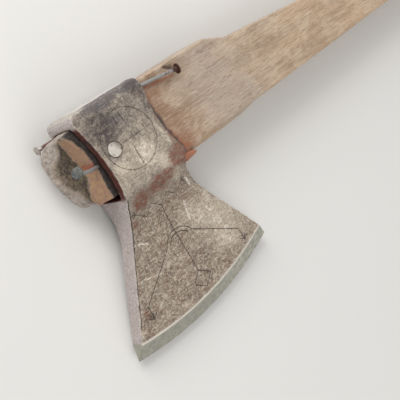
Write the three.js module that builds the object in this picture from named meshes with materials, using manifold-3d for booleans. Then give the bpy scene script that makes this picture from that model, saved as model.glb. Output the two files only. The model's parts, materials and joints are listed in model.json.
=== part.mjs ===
// A hafted iron axe that lies on one cheek. Millimetres, +Z up, +X along the haft towards the grip.
// Everything is first built in the axe's own square frame, x along the haft, y from the edge to the
// poll and z through the cheeks, with the poll face at y = 0. Then the whole axe rolls on to its
// resting cheek and bevel, and its box is set on the origin.
import * as THREE from "three";
import { mergeVertices } from "three/addons/utils/BufferGeometryUtils.js";
import Module from "manifold-3d";

const wasm = await Module();
wasm.setup();

// ---- driving dimensions -------------------------------------------------------------------
const HEAD_LENGTH = 161.5; // poll face to the furthest point of the edge
const HEAD_HALF = 18.75; // half the thickness over the eye
const BLADE_HALF = 6.6; // half the thickness where the bevel starts
const EDGE_RADIUS = 248; // the edge is an arc seen from the side
const EDGE_CENTRE_X = 12;
const BEVEL_WIDTH = 11; // from the edge back to the cheek
const CHEEK_END = 57; // distance from the poll where the flat cheek starts to thin

const EYE_START = 7.6; // distance of the eye's two ends from the poll
const EYE_END = 61;
const EYE_HALF = 12.6; // half the eye's width, so the walls are about 6 mm
const EYE_CORNER = 2;
const GAP = 0.3; // clearance between pieces that touch

const HAFT_HALF = 12.3; // half the haft's thickness
const HAFT_EDGE = 1.5; // small bevel on every long edge of the haft
const TENON_START = EYE_START + GAP;
const TENON_END = 56;
const TENON_TOP_HALF = 10.1; // the near face falls back towards the top of the haft
const SHOULDER_X = 55.3; // where the wide part of the haft meets the head
const HAFT_POLL_SIDE = 3.5; // the wide part, measured from the poll face
const HAFT_EDGE_SIDE = 64.3;
const GRIP_END = 405;
const GRIP_POLL_SIDE = 29;
const GRIP_EDGE_SIDE = 60.2;
const STUB_TOP = -22.2; // how far the haft's top end stands out of the head

const SHIM_HALF = 10.8;

const NAIL_RADIUS = 1.15;
const NAIL_HEAD_RADIUS = 3.8;
const NAIL_HEAD_THICKNESS = 1.3;
const NAIL_SIDES = 12;

// ---- helpers ------------------------------------------------------------------------------

// A geometry as a solid that can be joined and cut.
function solid(geometry) {
  const bare = geometry.clone();
  bare.deleteAttribute("normal");
  bare.deleteAttribute("uv");
  const merged = mergeVertices(bare, 1e-4);
  const mesh = new wasm.Mesh({
    numProp: 3,
    vertProperties: merged.attributes.position.array,
    triVerts: new Uint32Array(merged.index.array),
  });
  return new wasm.Manifold(mesh);
}

function geometryOf(manifold) {
  const { vertProperties, triVerts } = manifold.getMesh();
  const geometry = new THREE.BufferGeometry();
  geometry.setAttribute("position", new THREE.BufferAttribute(vertProperties, 3));
  geometry.setIndex(new THREE.BufferAttribute(triVerts, 1));
  geometry.computeVertexNormals();
  return geometry;
}

// A point of a side view: x along the haft and the distance from the poll face.
const side = (x, fromPoll) => new THREE.Vector2(x, -fromPoll);

function extruded(shape, length, options = {}) {
  const settings = { depth: length, bevelEnabled: false, curveSegments: 4, ...options };
  return new THREE.ExtrudeGeometry(shape, settings);
}

// A side view given thickness along z.
function plate(shape, low, high, curveSegments = 4) {
  return solid(extruded(shape, high - low, { curveSegments }).translate(0, 0, low));
}

// A cross-section in y and z, run along x.
function alongX(shape, low, high) {
  const turn = new THREE.Matrix4().makeBasis(
    new THREE.Vector3(0, 1, 0),
    new THREE.Vector3(0, 0, 1),
    new THREE.Vector3(1, 0, 0),
  );
  return solid(extruded(shape, high - low).applyMatrix4(turn).translate(low, 0, 0));
}

// A lengthwise section in x and z, run from the poll towards the edge.
function alongDepth(shape, start, end) {
  const turn = new THREE.Matrix4().makeBasis(
    new THREE.Vector3(1, 0, 0),
    new THREE.Vector3(0, 0, 1),
    new THREE.Vector3(0, -1, 0),
  );
  return solid(extruded(shape, end - start).applyMatrix4(turn).translate(0, -start, 0));
}

function roundedBox(x0, y0, x1, y1, radius) {
  const shape = new THREE.Shape();
  shape.moveTo(x0 + radius, y0);
  shape.lineTo(x1 - radius, y0);
  shape.absarc(x1 - radius, y0 + radius, radius, -Math.PI / 2, 0);
  shape.lineTo(x1, y1 - radius);
  shape.absarc(x1 - radius, y1 - radius, radius, 0, Math.PI / 2);
  shape.lineTo(x0 + radius, y1);
  shape.absarc(x0 + radius, y1 - radius, radius, Math.PI / 2, Math.PI);
  shape.lineTo(x0, y0 + radius);
  shape.absarc(x0 + radius, y0 + radius, radius, Math.PI, Math.PI * 1.5);
  return shape;
}

// ---- the iron head ------------------------------------------------------------------------

// Seen from the side: flat poll, hollowed rims beside the eye, narrow waist and a flaring blade.
// It runs past the edge, which the bevel cut then gives its arc.
function headOutline() {
  const past = HEAD_LENGTH + 15;
  const shape = new THREE.Shape();
  shape.moveTo(...side(1.5, 0));
  shape.lineTo(...side(50, 0));
  shape.quadraticCurveTo(...side(54, 0.5), ...side(54.8, 8));
  shape.splineThru([side(52.8, 24), side(54, 38), side(59.3, CHEEK_END)]);
  shape.lineTo(...side(55.8, 65));
  shape.splineThru([side(57.4, 75), side(61.2, 86), side(79.6, 119), side(95, 147)]);
  shape.lineTo(...side(111, past));
  shape.lineTo(...side(-52, past));
  shape.lineTo(...side(-41.3, 156.5));
  shape.splineThru([side(-27.4, 131), side(-14.3, 107), side(-4.2, 89), side(0.8, 76)]);
  shape.splineThru([side(2.6, 62), side(4.2, 45), side(2.4, 25), side(-1.9, 7)]);
  shape.quadraticCurveTo(...side(-2.2, 1), ...side(1.5, 0));
  return shape;
}

// Seen along the haft: thick over the eye, then thinning in a hollow curve to the slim blade.
function headSection() {
  const corner = 3.2;
  const upper = [
    side(CHEEK_END, 0).setX(-CHEEK_END).setY(HEAD_HALF),
    new THREE.Vector2(-63, 18),
    new THREE.Vector2(-69, 14.6),
    new THREE.Vector2(-78, 10.8),
    new THREE.Vector2(-91, 8.2),
    new THREE.Vector2(-110, 7.4),
  ];
  const far = -(HEAD_LENGTH + 20);
  const curve = new THREE.SplineCurve(upper).getPoints(18);
  const blade = new THREE.Vector2(far, BLADE_HALF - 0.3);
  const top = [...curve, blade];
  const shape = new THREE.Shape();
  shape.moveTo(0, HEAD_HALF - corner);
  shape.quadraticCurveTo(0, HEAD_HALF, -corner, HEAD_HALF);
  for (const p of top) shape.lineTo(p.x, p.y);
  for (const p of top.reverse()) shape.lineTo(p.x, -p.y);
  shape.lineTo(-corner, -HEAD_HALF);
  shape.quadraticCurveTo(0, -HEAD_HALF, 0, corner - HEAD_HALF);
  return shape;
}

// Two cones base to base. What of the blade lies inside them is bevelled along an arc.
function edgeGrinder() {
  const slope = BEVEL_WIDTH / BLADE_HALF;
  const high = 30;
  const inner = EDGE_RADIUS - high * slope;
  const profile = [
    new THREE.Vector2(0, -high),
    new THREE.Vector2(inner, -high),
    new THREE.Vector2(EDGE_RADIUS, 0),
    new THREE.Vector2(inner, high),
    new THREE.Vector2(0, high),
  ];
  const cones = new THREE.LatheGeometry(profile, 160).rotateX(Math.PI / 2);
  return solid(cones.translate(EDGE_CENTRE_X, EDGE_RADIUS - HEAD_LENGTH, 0));
}

function eye() {
  const section = roundedBox(-EYE_END, -EYE_HALF, -EYE_START, EYE_HALF, EYE_CORNER);
  return alongX(section, -20, 80);
}

function makeHead() {
  const block = plate(headOutline(), -HEAD_HALF - 1, HEAD_HALF + 1, 3);
  const profiled = block.intersect(alongX(headSection(), -80, 140));
  return profiled.intersect(edgeGrinder()).subtract(eye());
}

// ---- the wooden haft ----------------------------------------------------------------------

// Seen from the side: battered top end, tenon through the eye, wide flat part, sloping shoulders
// and a slimmer grip.
function haftOutline() {
  const shape = new THREE.Shape();
  shape.moveTo(...side(-3.4, 7.9));
  shape.lineTo(...side(SHOULDER_X, TENON_START));
  shape.lineTo(...side(SHOULDER_X, HAFT_POLL_SIDE));
  shape.lineTo(...side(118, HAFT_POLL_SIDE + 0.4));
  shape.quadraticCurveTo(...side(121.5, HAFT_POLL_SIDE + 0.6), ...side(125, 5.8));
  shape.lineTo(...side(138.5, 10.9));
  shape.quadraticCurveTo(...side(141, 11.9), ...side(146, 12.2));
  shape.lineTo(...side(330, 27));
  shape.lineTo(...side(GRIP_END - 6, GRIP_POLL_SIDE));
  shape.lineTo(...side(GRIP_END, GRIP_POLL_SIDE + 6));
  shape.lineTo(...side(GRIP_END, GRIP_EDGE_SIDE - 6));
  shape.lineTo(...side(GRIP_END - 6, GRIP_EDGE_SIDE));
  shape.lineTo(...side(147, 61.3));
  shape.quadraticCurveTo(...side(135, 61.8), ...side(122, HAFT_EDGE_SIDE));
  shape.lineTo(...side(72.8, HAFT_EDGE_SIDE));
  shape.lineTo(...side(59, TENON_END));
  shape.lineTo(...side(12.8, TENON_END));
  shape.lineTo(...side(11.8, 58.2));
  shape.lineTo(...side(-3.2, 58.2));
  shape.splineThru([
    side(-8.5, 57.6),
    side(-14.8, 53.5),
    side(-18.4, 45.5),
    side(-21.4, 33),
    side(STUB_TOP, 22),
    side(-18.2, 12.6),
    side(-11, 8.4),
  ]);
  return shape;
}

// Seen from the poll: the near face falls back to the top end, which is a slanting dome, low on
// the near side and high on the far side.
function haftSection() {
  const shape = new THREE.Shape();
  shape.moveTo(GRIP_END + 10, HAFT_HALF);
  shape.lineTo(SHOULDER_X, HAFT_HALF);
  shape.lineTo(-2.5, TENON_TOP_HALF);
  shape.splineThru([
    new THREE.Vector2(-7.5, 5.5),
    new THREE.Vector2(-12, 1.5),
    new THREE.Vector2(-17.5, -2),
    new THREE.Vector2(-21.8, -5.5),
    new THREE.Vector2(STUB_TOP - 0.3, -9),
    new THREE.Vector2(-20, -HAFT_HALF),
  ]);
  shape.lineTo(GRIP_END + 10, -HAFT_HALF);
  return shape;
}

// The wide part is chamfered on both arrises towards the edge.
function haftChamfers() {
  const end = -HAFT_EDGE_SIDE;
  const shape = new THREE.Shape();
  shape.moveTo(5, HAFT_HALF + 1);
  shape.lineTo(end + 4, HAFT_HALF + 1);
  shape.lineTo(end + 4, HAFT_HALF);
  shape.lineTo(end - 0.5, HAFT_HALF - 6);
  shape.lineTo(end - 0.5, 6 - HAFT_HALF);
  shape.lineTo(end + 4, -HAFT_HALF);
  shape.lineTo(end + 4, -HAFT_HALF - 1);
  shape.lineTo(5, -HAFT_HALF - 1);
  return alongX(shape, -40, GRIP_END + 10);
}

function makeHaft() {
  const board = extruded(haftOutline(), 2 * (HAFT_HALF - HAFT_EDGE), {
    curveSegments: 3,
    bevelEnabled: true,
    bevelThickness: HAFT_EDGE,
    bevelSize: HAFT_EDGE,
    bevelOffset: -HAFT_EDGE,
    bevelSegments: 1,
  });
  const flat = solid(board.translate(0, 0, HAFT_EDGE - HAFT_HALF));
  const sloped = flat.intersect(alongDepth(haftSection(), -5, HAFT_EDGE_SIDE + 10));
  return sloped.intersect(haftChamfers());
}

// ---- the shim driven in beside the haft ---------------------------------------------------
function makeShim() {
  const inner = TENON_END + GAP + 0.1;
  const outer = EYE_END - GAP;
  const shape = new THREE.Shape();
  shape.moveTo(...side(14, inner + 1.2));
  shape.lineTo(...side(24, inner));
  shape.lineTo(...side(58.6, inner));
  shape.lineTo(...side(72, HAFT_EDGE_SIDE + 0.2));
  shape.lineTo(...side(71, 66.2));
  shape.lineTo(...side(59.4, 67.6));
  shape.lineTo(...side(58.4, outer));
  shape.lineTo(...side(14, outer));
  return plate(shape, -SHIM_HALF, SHIM_HALF);
}

// ---- nails --------------------------------------------------------------------------------

// A wire nail whose shank follows a curve and whose flat head stands square on the curve's end.
function makeNail(points, radius, headRadius, steps) {
  const route = new THREE.CatmullRomCurve3(points);
  const ring = new THREE.Shape();
  ring.absarc(0, 0, radius, 0, Math.PI * 2);
  const shank = extruded(ring, 1, { extrudePath: route, steps, curveSegments: NAIL_SIDES });
  const head = new THREE.CylinderGeometry(headRadius, headRadius, NAIL_HEAD_THICKNESS, 20);
  const up = new THREE.Vector3(0, 1, 0);
  const turn = new THREE.Quaternion().setFromUnitVectors(up, route.getTangent(1));
  const end = route.getPoint(1);
  head.applyQuaternion(turn).translate(end.x, end.y, end.z);
  return { shank: solid(shank), whole: solid(shank).add(solid(head)) };
}

const at = (x, fromPoll, z) => new THREE.Vector3(x, -fromPoll, z);

const NAIL_ROUTES = {
  // driven into the top end beside the near cheek, then bent over towards the viewer
  stub_nail: [
    at(8, 37.5, 6),
    at(3.5, 36.2, 8.6),
    at(-0.5, 35.4, 11.4),
    at(-6, 34.6, 13.8),
    at(-11.6, 33, 15.6),
    at(-15.8, 30.6, 18),
  ],
  // jammed between the far cheek and the top end
  far_side_nail: [at(9, 9.6, -12.1), at(-3, 9.7, -13.3), at(-15.6, 10, -16.6)],
  // jammed between the near cheek and the haft, head towards the grip
  haft_nail: [at(45, 6.6, 12.3), at(66, 8.8, 14.4), at(87.2, 11.2, 16.7)],
};
const NAIL_STEPS = { stub_nail: 14, far_side_nail: 4, haft_nail: 4 };

// ---- the axe ------------------------------------------------------------------------------
const IRON = { color: 0x7d7068, roughness: 0.62, metalness: 0.75 };
const WOOD = { color: 0xb49a7e, roughness: 0.78, metalness: 0 };
const RUSTY_WOOD = { color: 0xa9694a, roughness: 0.85, metalness: 0 };
const ZINC = { color: 0x78858a, roughness: 0.5, metalness: 0.8 };

const axe = new THREE.Group();

function addMesh(name, manifold, look) {
  const material = new THREE.MeshStandardMaterial(look);
  const mesh = new THREE.Mesh(geometryOf(manifold), material);
  mesh.name = name;
  axe.add(mesh);
}

let head = makeHead();
let haft = makeHaft();
const shim = makeShim();
for (const [name, route] of Object.entries(NAIL_ROUTES)) {
  const steps = NAIL_STEPS[name];
  const nail = makeNail(route, NAIL_RADIUS, NAIL_HEAD_RADIUS, steps);
  const hole = makeNail(route, NAIL_RADIUS + GAP, NAIL_HEAD_RADIUS, steps).shank;
  head = head.subtract(hole);
  haft = haft.subtract(hole);
  addMesh(name, nail.whole, ZINC);
}
addMesh("axe_head", head, IRON);
addMesh("haft", haft, WOOD);
addMesh("eye_shim", shim, RUSTY_WOOD);

// The axe rolls until the end of the flat cheek and the start of the bevel lie on one level.
const bevelStart = HEAD_LENGTH - BEVEL_WIDTH;
const roll = Math.atan2(HEAD_HALF - BLADE_HALF, bevelStart - CHEEK_END);
axe.rotation.x = roll;
axe.updateMatrixWorld(true);
const box = new THREE.Box3().setFromObject(axe, true);
const centre = box.getCenter(new THREE.Vector3());
axe.position.set(-centre.x, -centre.y, -box.min.z);
axe.updateMatrixWorld(true);

export default axe;
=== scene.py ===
"""An old hafted iron axe: forged head with incised lines, worn wooden haft, eye shim and three bent nails.

The script is laid out as an add-on. One operator makes each piece or group of like pieces, and one makes
the stage. Every piece is made in the axe's own frame, in millimetres: u runs along the haft from the head
to the grip, v runs from the poll face towards the cutting edge, and n runs out through the upper cheek.
"""

import json
import math

import bmesh
import bpy
import numpy as np
from mathutils import Matrix, Vector, noise
from mathutils.bvhtree import BVHTree


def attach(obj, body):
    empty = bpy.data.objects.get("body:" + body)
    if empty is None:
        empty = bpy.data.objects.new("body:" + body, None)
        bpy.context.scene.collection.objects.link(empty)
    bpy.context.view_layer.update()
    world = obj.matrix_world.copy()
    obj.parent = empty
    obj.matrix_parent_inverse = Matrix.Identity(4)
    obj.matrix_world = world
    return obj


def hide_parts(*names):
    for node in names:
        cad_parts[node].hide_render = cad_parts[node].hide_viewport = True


bl_info = {
    "name": "Old Hafted Axe",
    "version": (1, 0, 0),
    "blender": (4, 5, 0),
    "location": "3D View > Sidebar > Old Axe",
    "description": "Makes an old iron axe on its wooden haft, piece by piece, with a plain stage",
    "category": "Add Mesh",
}

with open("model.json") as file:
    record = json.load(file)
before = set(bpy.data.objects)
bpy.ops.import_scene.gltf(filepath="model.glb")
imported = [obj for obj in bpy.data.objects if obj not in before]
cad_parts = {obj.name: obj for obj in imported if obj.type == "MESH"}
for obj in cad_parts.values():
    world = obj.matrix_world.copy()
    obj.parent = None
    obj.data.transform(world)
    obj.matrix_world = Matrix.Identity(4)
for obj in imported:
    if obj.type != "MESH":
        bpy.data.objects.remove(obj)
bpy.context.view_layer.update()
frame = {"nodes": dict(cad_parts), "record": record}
MOUNTS = {mount["name"]: mount for mount in frame["record"]["mounts"]}

# ---------------------------------------------------------------- the axe's own frame
MM = 0.001
POLL_MOUNT_U = 26.0
POLL = MOUNTS["poll_face"]
ROLL = math.atan2(POLL["axis"][2], POLL["axis"][1])
ORIGIN = Vector(POLL["pos_m"]) - Vector((POLL_MOUNT_U * MM, 0, 0))
AXE = Matrix.Translation(ORIGIN) @ Matrix.Rotation(ROLL, 4, "X")

# ---------------------------------------------------------------- driving sizes, in millimetres
EDGE_CENTRE = (12.0, -86.5)
EDGE_RADIUS = 248.0
BEVEL_WIDTH = 11.0
BEVEL_START = EDGE_RADIUS - BEVEL_WIDTH
EYE_START = 7.6
EYE_END = 61.0
EYE_HALF = 12.6
RIM_U = 54.8
HAFT_HALF = 12.3
TENON_TOP_HALF = 10.1
TENON_START = 7.9
TENON_END = 56.0
STUB_EDGE_SIDE = 58.2
SHOULDER_U = 55.3
GRIP_END = 405.0
NAIL_RADIUS = 1.15
NAIL_HEAD_RADIUS = 3.8
NAIL_HEAD_THICKNESS = 1.3
NAIL_RELIEF = 0.00012
SEED = Vector((31.7, 12.9, 58.3))
# Angles in degrees above which an edge is left sharp.
IRON_SHARP = 42
HAFT_SHARP = 50
SHIM_SHARP = 60
NAIL_SHARP = 50


def to_axe(points):
    """Points in millimetres as rows of u, v, n, put in metres in the axe's x, y, z."""
    points = np.asarray(points, float)
    return np.stack((points[:, 0], -points[:, 1], points[:, 2]), 1) * MM


def from_axe(points):
    """The other way: metres in the axe's x, y, z back to rows of u, v, n in millimetres."""
    points = np.asarray(points, float) / MM
    return np.stack((points[:, 0], -points[:, 1], points[:, 2]), 1)


def curve_through(points, steps):
    """A smooth line of steps points a span through the given points."""
    points = np.asarray(points, float)
    ends = np.vstack((2 * points[0] - points[1], points, 2 * points[-1] - points[-2]))
    made = []
    for i in range(1, len(ends) - 2):
        a, b, c, d = ends[i - 1], ends[i], ends[i + 1], ends[i + 2]
        for t in np.arange(steps) / steps:
            bend = (2 * a - 5 * b + 4 * c - d) * t**2 + (3 * b - a - 3 * c + d) * t**3
            made.append(0.5 * (2 * b + (c - a) * t + bend))
    made.append(points[-1])
    return np.array(made)


def resample(points, spacing):
    """The same line with its points evenly spaced."""
    points = np.asarray(points, float)
    steps = np.linalg.norm(np.diff(points, axis=0), axis=1)
    along = np.concatenate(([0], np.cumsum(steps)))
    count = max(2, int(math.ceil(along[-1] / spacing)) + 1)
    places = np.linspace(0, along[-1], count)
    return np.stack([np.interp(places, along, points[:, k]) for k in range(points.shape[1])], 1)


def smooth(low, high, value):
    """0 below low, 1 above high, and an even S between them."""
    t = np.clip((np.asarray(value, float) - low) / (high - low), 0, 1)
    return t * t * (3 - 2 * t)


def field(points, scale, octaves=3, stretch=(1, 1, 1), shift=0.0):
    """Even noise from about -1 to 1 at each point, scale features a millimetre."""
    step = Vector((shift, -shift, 2 * shift)) + SEED
    factors = Vector(stretch) * scale
    read = noise.fractal
    return np.array([read(Vector(p) * factors + step, 1.0, 2.0, octaves) for p in points])


def table(value, pairs):
    """Reads a table of places and values, with straight runs between them."""
    return np.interp(value, *np.array(pairs, float).T)


def line_distance(places, line):
    """How far each place is from a line in the u, v plane."""
    line = np.asarray(line, float)[:, :2]
    least = np.full(len(places), 1e9)
    for a, b in zip(line[:-1], line[1:]):
        span = b - a
        t = np.clip(((places - a) @ span) / max(span @ span, 1e-9), 0, 1)
        away = np.linalg.norm(places - a - t[:, None] * span, axis=1)
        least = np.minimum(least, away)
    return least


def soft_line(flat, line, wide):
    """1 on a line, and softly less to both sides of it."""
    return np.exp(-((line_distance(flat, line) / wide) ** 2))


def spots(places, centres):
    """Soft round patches, each given as u, v, radius and strength."""
    total = np.zeros(len(places))
    for u, v, radius, strength in centres:
        away = ((places[:, 0] - u) ** 2 + (places[:, 1] - v) ** 2) / radius**2
        total += strength * np.exp(-away)
    return total


# ---------------------------------------------------------------- mesh helpers
def tube_faces(rings, sides):
    """The faces between rings that follow each other, each of as many points as there are sides."""
    faces = []
    for a in range(0, (rings - 1) * sides, sides):
        for k in range(sides):
            m = (k + 1) % sides
            faces.append((a + k, a + m, a + sides + m, a + sides + k))
    return faces


def new_piece(name, vertices, faces):
    """An object of that mesh in the axe's frame, its faces turned outwards."""
    mesh = bpy.data.meshes.new(name)
    mesh.from_pydata([tuple(v) for v in to_axe(vertices)], [], faces)
    mesh.validate()
    turn_out(mesh)
    piece = bpy.data.objects.new(name, mesh)
    bpy.context.scene.collection.objects.link(piece)
    return piece


def turn_out(mesh):
    """Turns every face of a closed mesh outwards."""
    work = bmesh.new()
    work.from_mesh(mesh)
    bmesh.ops.recalc_face_normals(work, faces=work.faces)
    work.to_mesh(mesh)
    work.free()


def work_in(piece):
    """Works a piece's modifiers into its mesh."""
    graph = bpy.context.evaluated_depsgraph_get()
    graph.update()
    made = bpy.data.meshes.new_from_object(piece.evaluated_get(graph))
    piece.modifiers.clear()
    before = piece.data
    piece.data = made
    bpy.data.meshes.remove(before)


def corners_of(mesh):
    """The mesh's vertices as rows of u, v, n."""
    flat = np.zeros(len(mesh.vertices) * 3)
    mesh.vertices.foreach_get("co", flat)
    return from_axe(flat.reshape(-1, 3))


def normals_of(mesh):
    """The mesh's vertex normals as rows along u, v and n."""
    flat = np.zeros(len(mesh.vertices) * 3)
    mesh.vertex_normals.foreach_get("vector", flat)
    flat = flat.reshape(-1, 3)
    return np.stack((flat[:, 0], -flat[:, 1], flat[:, 2]), 1)


def put_corners(mesh, points):
    """Moves the mesh's vertices to rows of u, v, n."""
    mesh.vertices.foreach_set("co", to_axe(points).ravel())
    mesh.update()


def edge_pairs(mesh):
    """The mesh's edges as rows of two vertex numbers."""
    flat = np.zeros(len(mesh.edges) * 2, int)
    mesh.edges.foreach_get("vertices", flat)
    return flat.reshape(-1, 2)


def relax(points, pairs, hold, rounds, share=0.5):
    """Draws each point towards the middle of its neighbours, less where hold is near 1."""
    points = points.copy()
    count = np.zeros(len(points))
    np.add.at(count, pairs[:, 0], 1)
    np.add.at(count, pairs[:, 1], 1)
    for _ in range(rounds):
        total = np.zeros_like(points)
        np.add.at(total, pairs[:, 0], points[pairs[:, 1]])
        np.add.at(total, pairs[:, 1], points[pairs[:, 0]])
        middle = total / np.maximum(count, 1)[:, None]
        points += (middle - points) * (share * (1 - hold))[:, None]
    return points


def sharpness(mesh, points, normals):
    """How far each vertex stands out from its neighbours: above 0 on outer edges, below in hollows."""
    pairs = edge_pairs(mesh)
    a, b = pairs[:, 0], pairs[:, 1]
    away = points[b] - points[a]
    length = np.maximum(np.linalg.norm(away, axis=1), 1e-6)
    bend = np.einsum("ij,ij->i", normals[b] - normals[a], away) / length
    total = np.zeros(len(points))
    count = np.zeros(len(points))
    for end in (a, b):
        np.add.at(total, end, bend)
        np.add.at(count, end, 1)
    return total / np.maximum(count, 1)


def write_mask(mesh, name, values):
    """Keeps one number a vertex for the finish to read."""
    mask = mesh.attributes.get(name) or mesh.attributes.new(name, "FLOAT", "POINT")
    mask.data.foreach_set("value", np.ascontiguousarray(values, np.float32))


def write_place(mesh, points):
    """Keeps each vertex's own place, in millimetres in the axe's frame, for the finish to read."""
    place = mesh.attributes.get("place") or mesh.attributes.new("place", "FLOAT_VECTOR", "POINT")
    place.data.foreach_set("vector", np.ascontiguousarray(points, np.float32).ravel())


def settle(piece, finish, nodes, angle):
    """Puts a finished piece in the row's frame, gives it its finish and ties it to the frame."""
    mesh = piece.data
    mesh.transform(AXE)
    mesh.materials.clear()
    mesh.materials.append(finish)
    mesh.polygons.foreach_set("material_index", np.zeros(len(mesh.polygons), np.int32))
    mesh.polygons.foreach_set("use_smooth", np.ones(len(mesh.polygons), bool))
    mesh.set_sharp_from_angle(angle=math.radians(angle))
    mesh.update()
    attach(piece, "root")
    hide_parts(*nodes)
    return piece


# ---------------------------------------------------------------- finish helpers
class Finish:
    """One material's nodes, made in order. A value is a number, a colour, a mask's name or an output."""

    def __init__(self, name):
        self.material = bpy.data.materials.new(name)
        self.material.use_nodes = True
        self.tree = self.material.node_tree
        self.tree.nodes.clear()
        self.place = self.mask("place", "Vector")

    def feed(self, socket, value):
        if isinstance(value, str):
            value = self.mask(value)
        if isinstance(value, bpy.types.NodeSocket):
            self.tree.links.new(value, socket)
        elif hasattr(value, "__len__") and len(value) == 3 and socket.type == "RGBA":
            socket.default_value = (*value, 1)
        else:
            socket.default_value = value

    def mask(self, name, output="Fac"):
        node = self.tree.nodes.new("ShaderNodeAttribute")
        node.attribute_name = name
        return node.outputs[output]

    def grain(self, scale, detail=4.0, rough=0.55, stretch=(1, 1, 1), twist=0.0, shift=0.0, turn=0.0):
        """Noise from 0 to 1, scale features a millimetre, turned by that many degrees about n."""
        spread = self.tree.nodes.new("ShaderNodeMapping")
        spread.inputs["Rotation"].default_value = (0, 0, math.radians(turn))
        spread.inputs["Location"].default_value = (shift, 2 * shift, -shift)
        spread.inputs["Scale"].default_value = [scale * s for s in stretch]
        self.tree.links.new(self.place, spread.inputs["Vector"])
        node = self.tree.nodes.new("ShaderNodeTexNoise")
        node.inputs["Scale"].default_value = 1.0
        node.inputs["Detail"].default_value = detail
        node.inputs["Roughness"].default_value = rough
        node.inputs["Distortion"].default_value = twist
        self.tree.links.new(spread.outputs["Vector"], node.inputs["Vector"])
        return node.outputs["Fac"]

    def range(self, value, low, high, out_low=0.0, out_high=1.0):
        node = self.tree.nodes.new("ShaderNodeMapRange")
        node.interpolation_type = "SMOOTHSTEP"
        numbers = {"From Min": low, "From Max": high, "To Min": out_low, "To Max": out_high}
        for name, number in numbers.items():
            node.inputs[name].default_value = number
        self.feed(node.inputs["Value"], value)
        return node.outputs["Result"]

    def math(self, operation, first, second, clamp=False):
        node = self.tree.nodes.new("ShaderNodeMath")
        node.operation = operation
        node.use_clamp = clamp
        self.feed(node.inputs[0], first)
        self.feed(node.inputs[1], second)
        return node.outputs[0]

    def both(self, *values):
        made = values[0]
        for value in values[1:]:
            made = self.math("MULTIPLY", made, value)
        return made

    def mix(self, share, first, second):
        node = self.tree.nodes.new("ShaderNodeMix")
        node.data_type = "RGBA"
        node.clamp_factor = True
        self.feed(node.inputs[0], share)
        self.feed(node.inputs[6], first)
        self.feed(node.inputs[7], second)
        return node.outputs[2]

    def over(self, under, colour, *shares):
        """Lays a colour over what is under it, as strongly as its shares say together."""
        return self.mix(self.both(*shares), under, colour)

    def add(self, first, *values):
        """The sum of some values."""
        for value in values:
            first = self.math("ADD", first, value)
        return first

    def less(self, first, second):
        """One value less another."""
        return self.math("SUBTRACT", first, second)

    def done(self, colour, rough, metal, height, depth):
        """Closes the material: height is the fine relief, depth its size in metres."""
        bump = self.tree.nodes.new("ShaderNodeBump")
        bump.inputs["Strength"].default_value = 1.0
        bump.inputs["Distance"].default_value = depth
        self.feed(bump.inputs["Height"], height)
        shader = self.tree.nodes.new("ShaderNodeBsdfPrincipled")
        self.feed(shader.inputs["Base Color"], colour)
        self.feed(shader.inputs["Roughness"], rough)
        self.feed(shader.inputs["Metallic"], metal)
        self.tree.links.new(bump.outputs["Normal"], shader.inputs["Normal"])
        output = self.tree.nodes.new("ShaderNodeOutputMaterial")
        self.tree.links.new(shader.outputs["BSDF"], output.inputs["Surface"])
        return self.material


# ---------------------------------------------------------------- the incised lines
RING = (27.0, 31.0)
DISC = (14.2, 31.8)
DISC_RADIUS = 5.2
STROKE_STEP = 1.1
SHARP_CORNER = 25.0


def arc(centre, radius, start, end):
    """Points on an arc, angles in degrees from the haft's direction towards the edge."""
    angles = np.radians(np.linspace(start, end, max(4, int(abs(end - start) / 9) + 1)))
    return np.stack((centre[0] + radius * np.cos(angles), centre[1] + radius * np.sin(angles)), 1)


def fan(centre, reach, directions):
    """Short strokes that leave one point."""
    lines = []
    for angle in directions:
        turn = math.radians(angle)
        lines.append([centre, (centre[0] + reach * math.cos(turn), centre[1] + reach * math.sin(turn))])
    return lines


def mirrored(line, middle):
    """The same line on the other side of u = middle."""
    return [(2 * middle - u, v) for u, v in line]


def cheek_strokes():
    """A plain ring with a small disc and rows of short strokes on the drum, and how firmly each is cut."""
    faint = 0.5
    ring = RING
    bar = [(21.0, 31.2), (45.0, 31.2)]
    strokes = [
        (arc(ring, 20.0, -86, -8), 0.6),
        (arc(ring, 20.2, -10, 62), 0.7),
        (arc(ring, 20.0, 60, 152), faint),
        (arc(ring, 20.0, 148, 276), 0.75),
        (arc(ring, 18.8, 168, 222), 0.45),
        (arc(ring, 21.1, 236, 284), 0.45),
        (arc(ring, 18.8, 6, 40), 0.45),
        (arc(DISC, DISC_RADIUS, 0, 180), 0.95),
        (arc(DISC, DISC_RADIUS, 180, 360), 0.95),
        (bar, faint),
        ([(27.0, 37.0), (27.0, 49.0)], 0.9),
    ]
    strokes += [([(u, 27.8), (u + 0.6, 34.6)], faint) for u in (30.0, 35.0, 40.0)]
    strokes += [([(u, 13.8), (u, 20.4)], 0.85) for u in (24.4, 29.6)]
    return strokes


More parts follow.
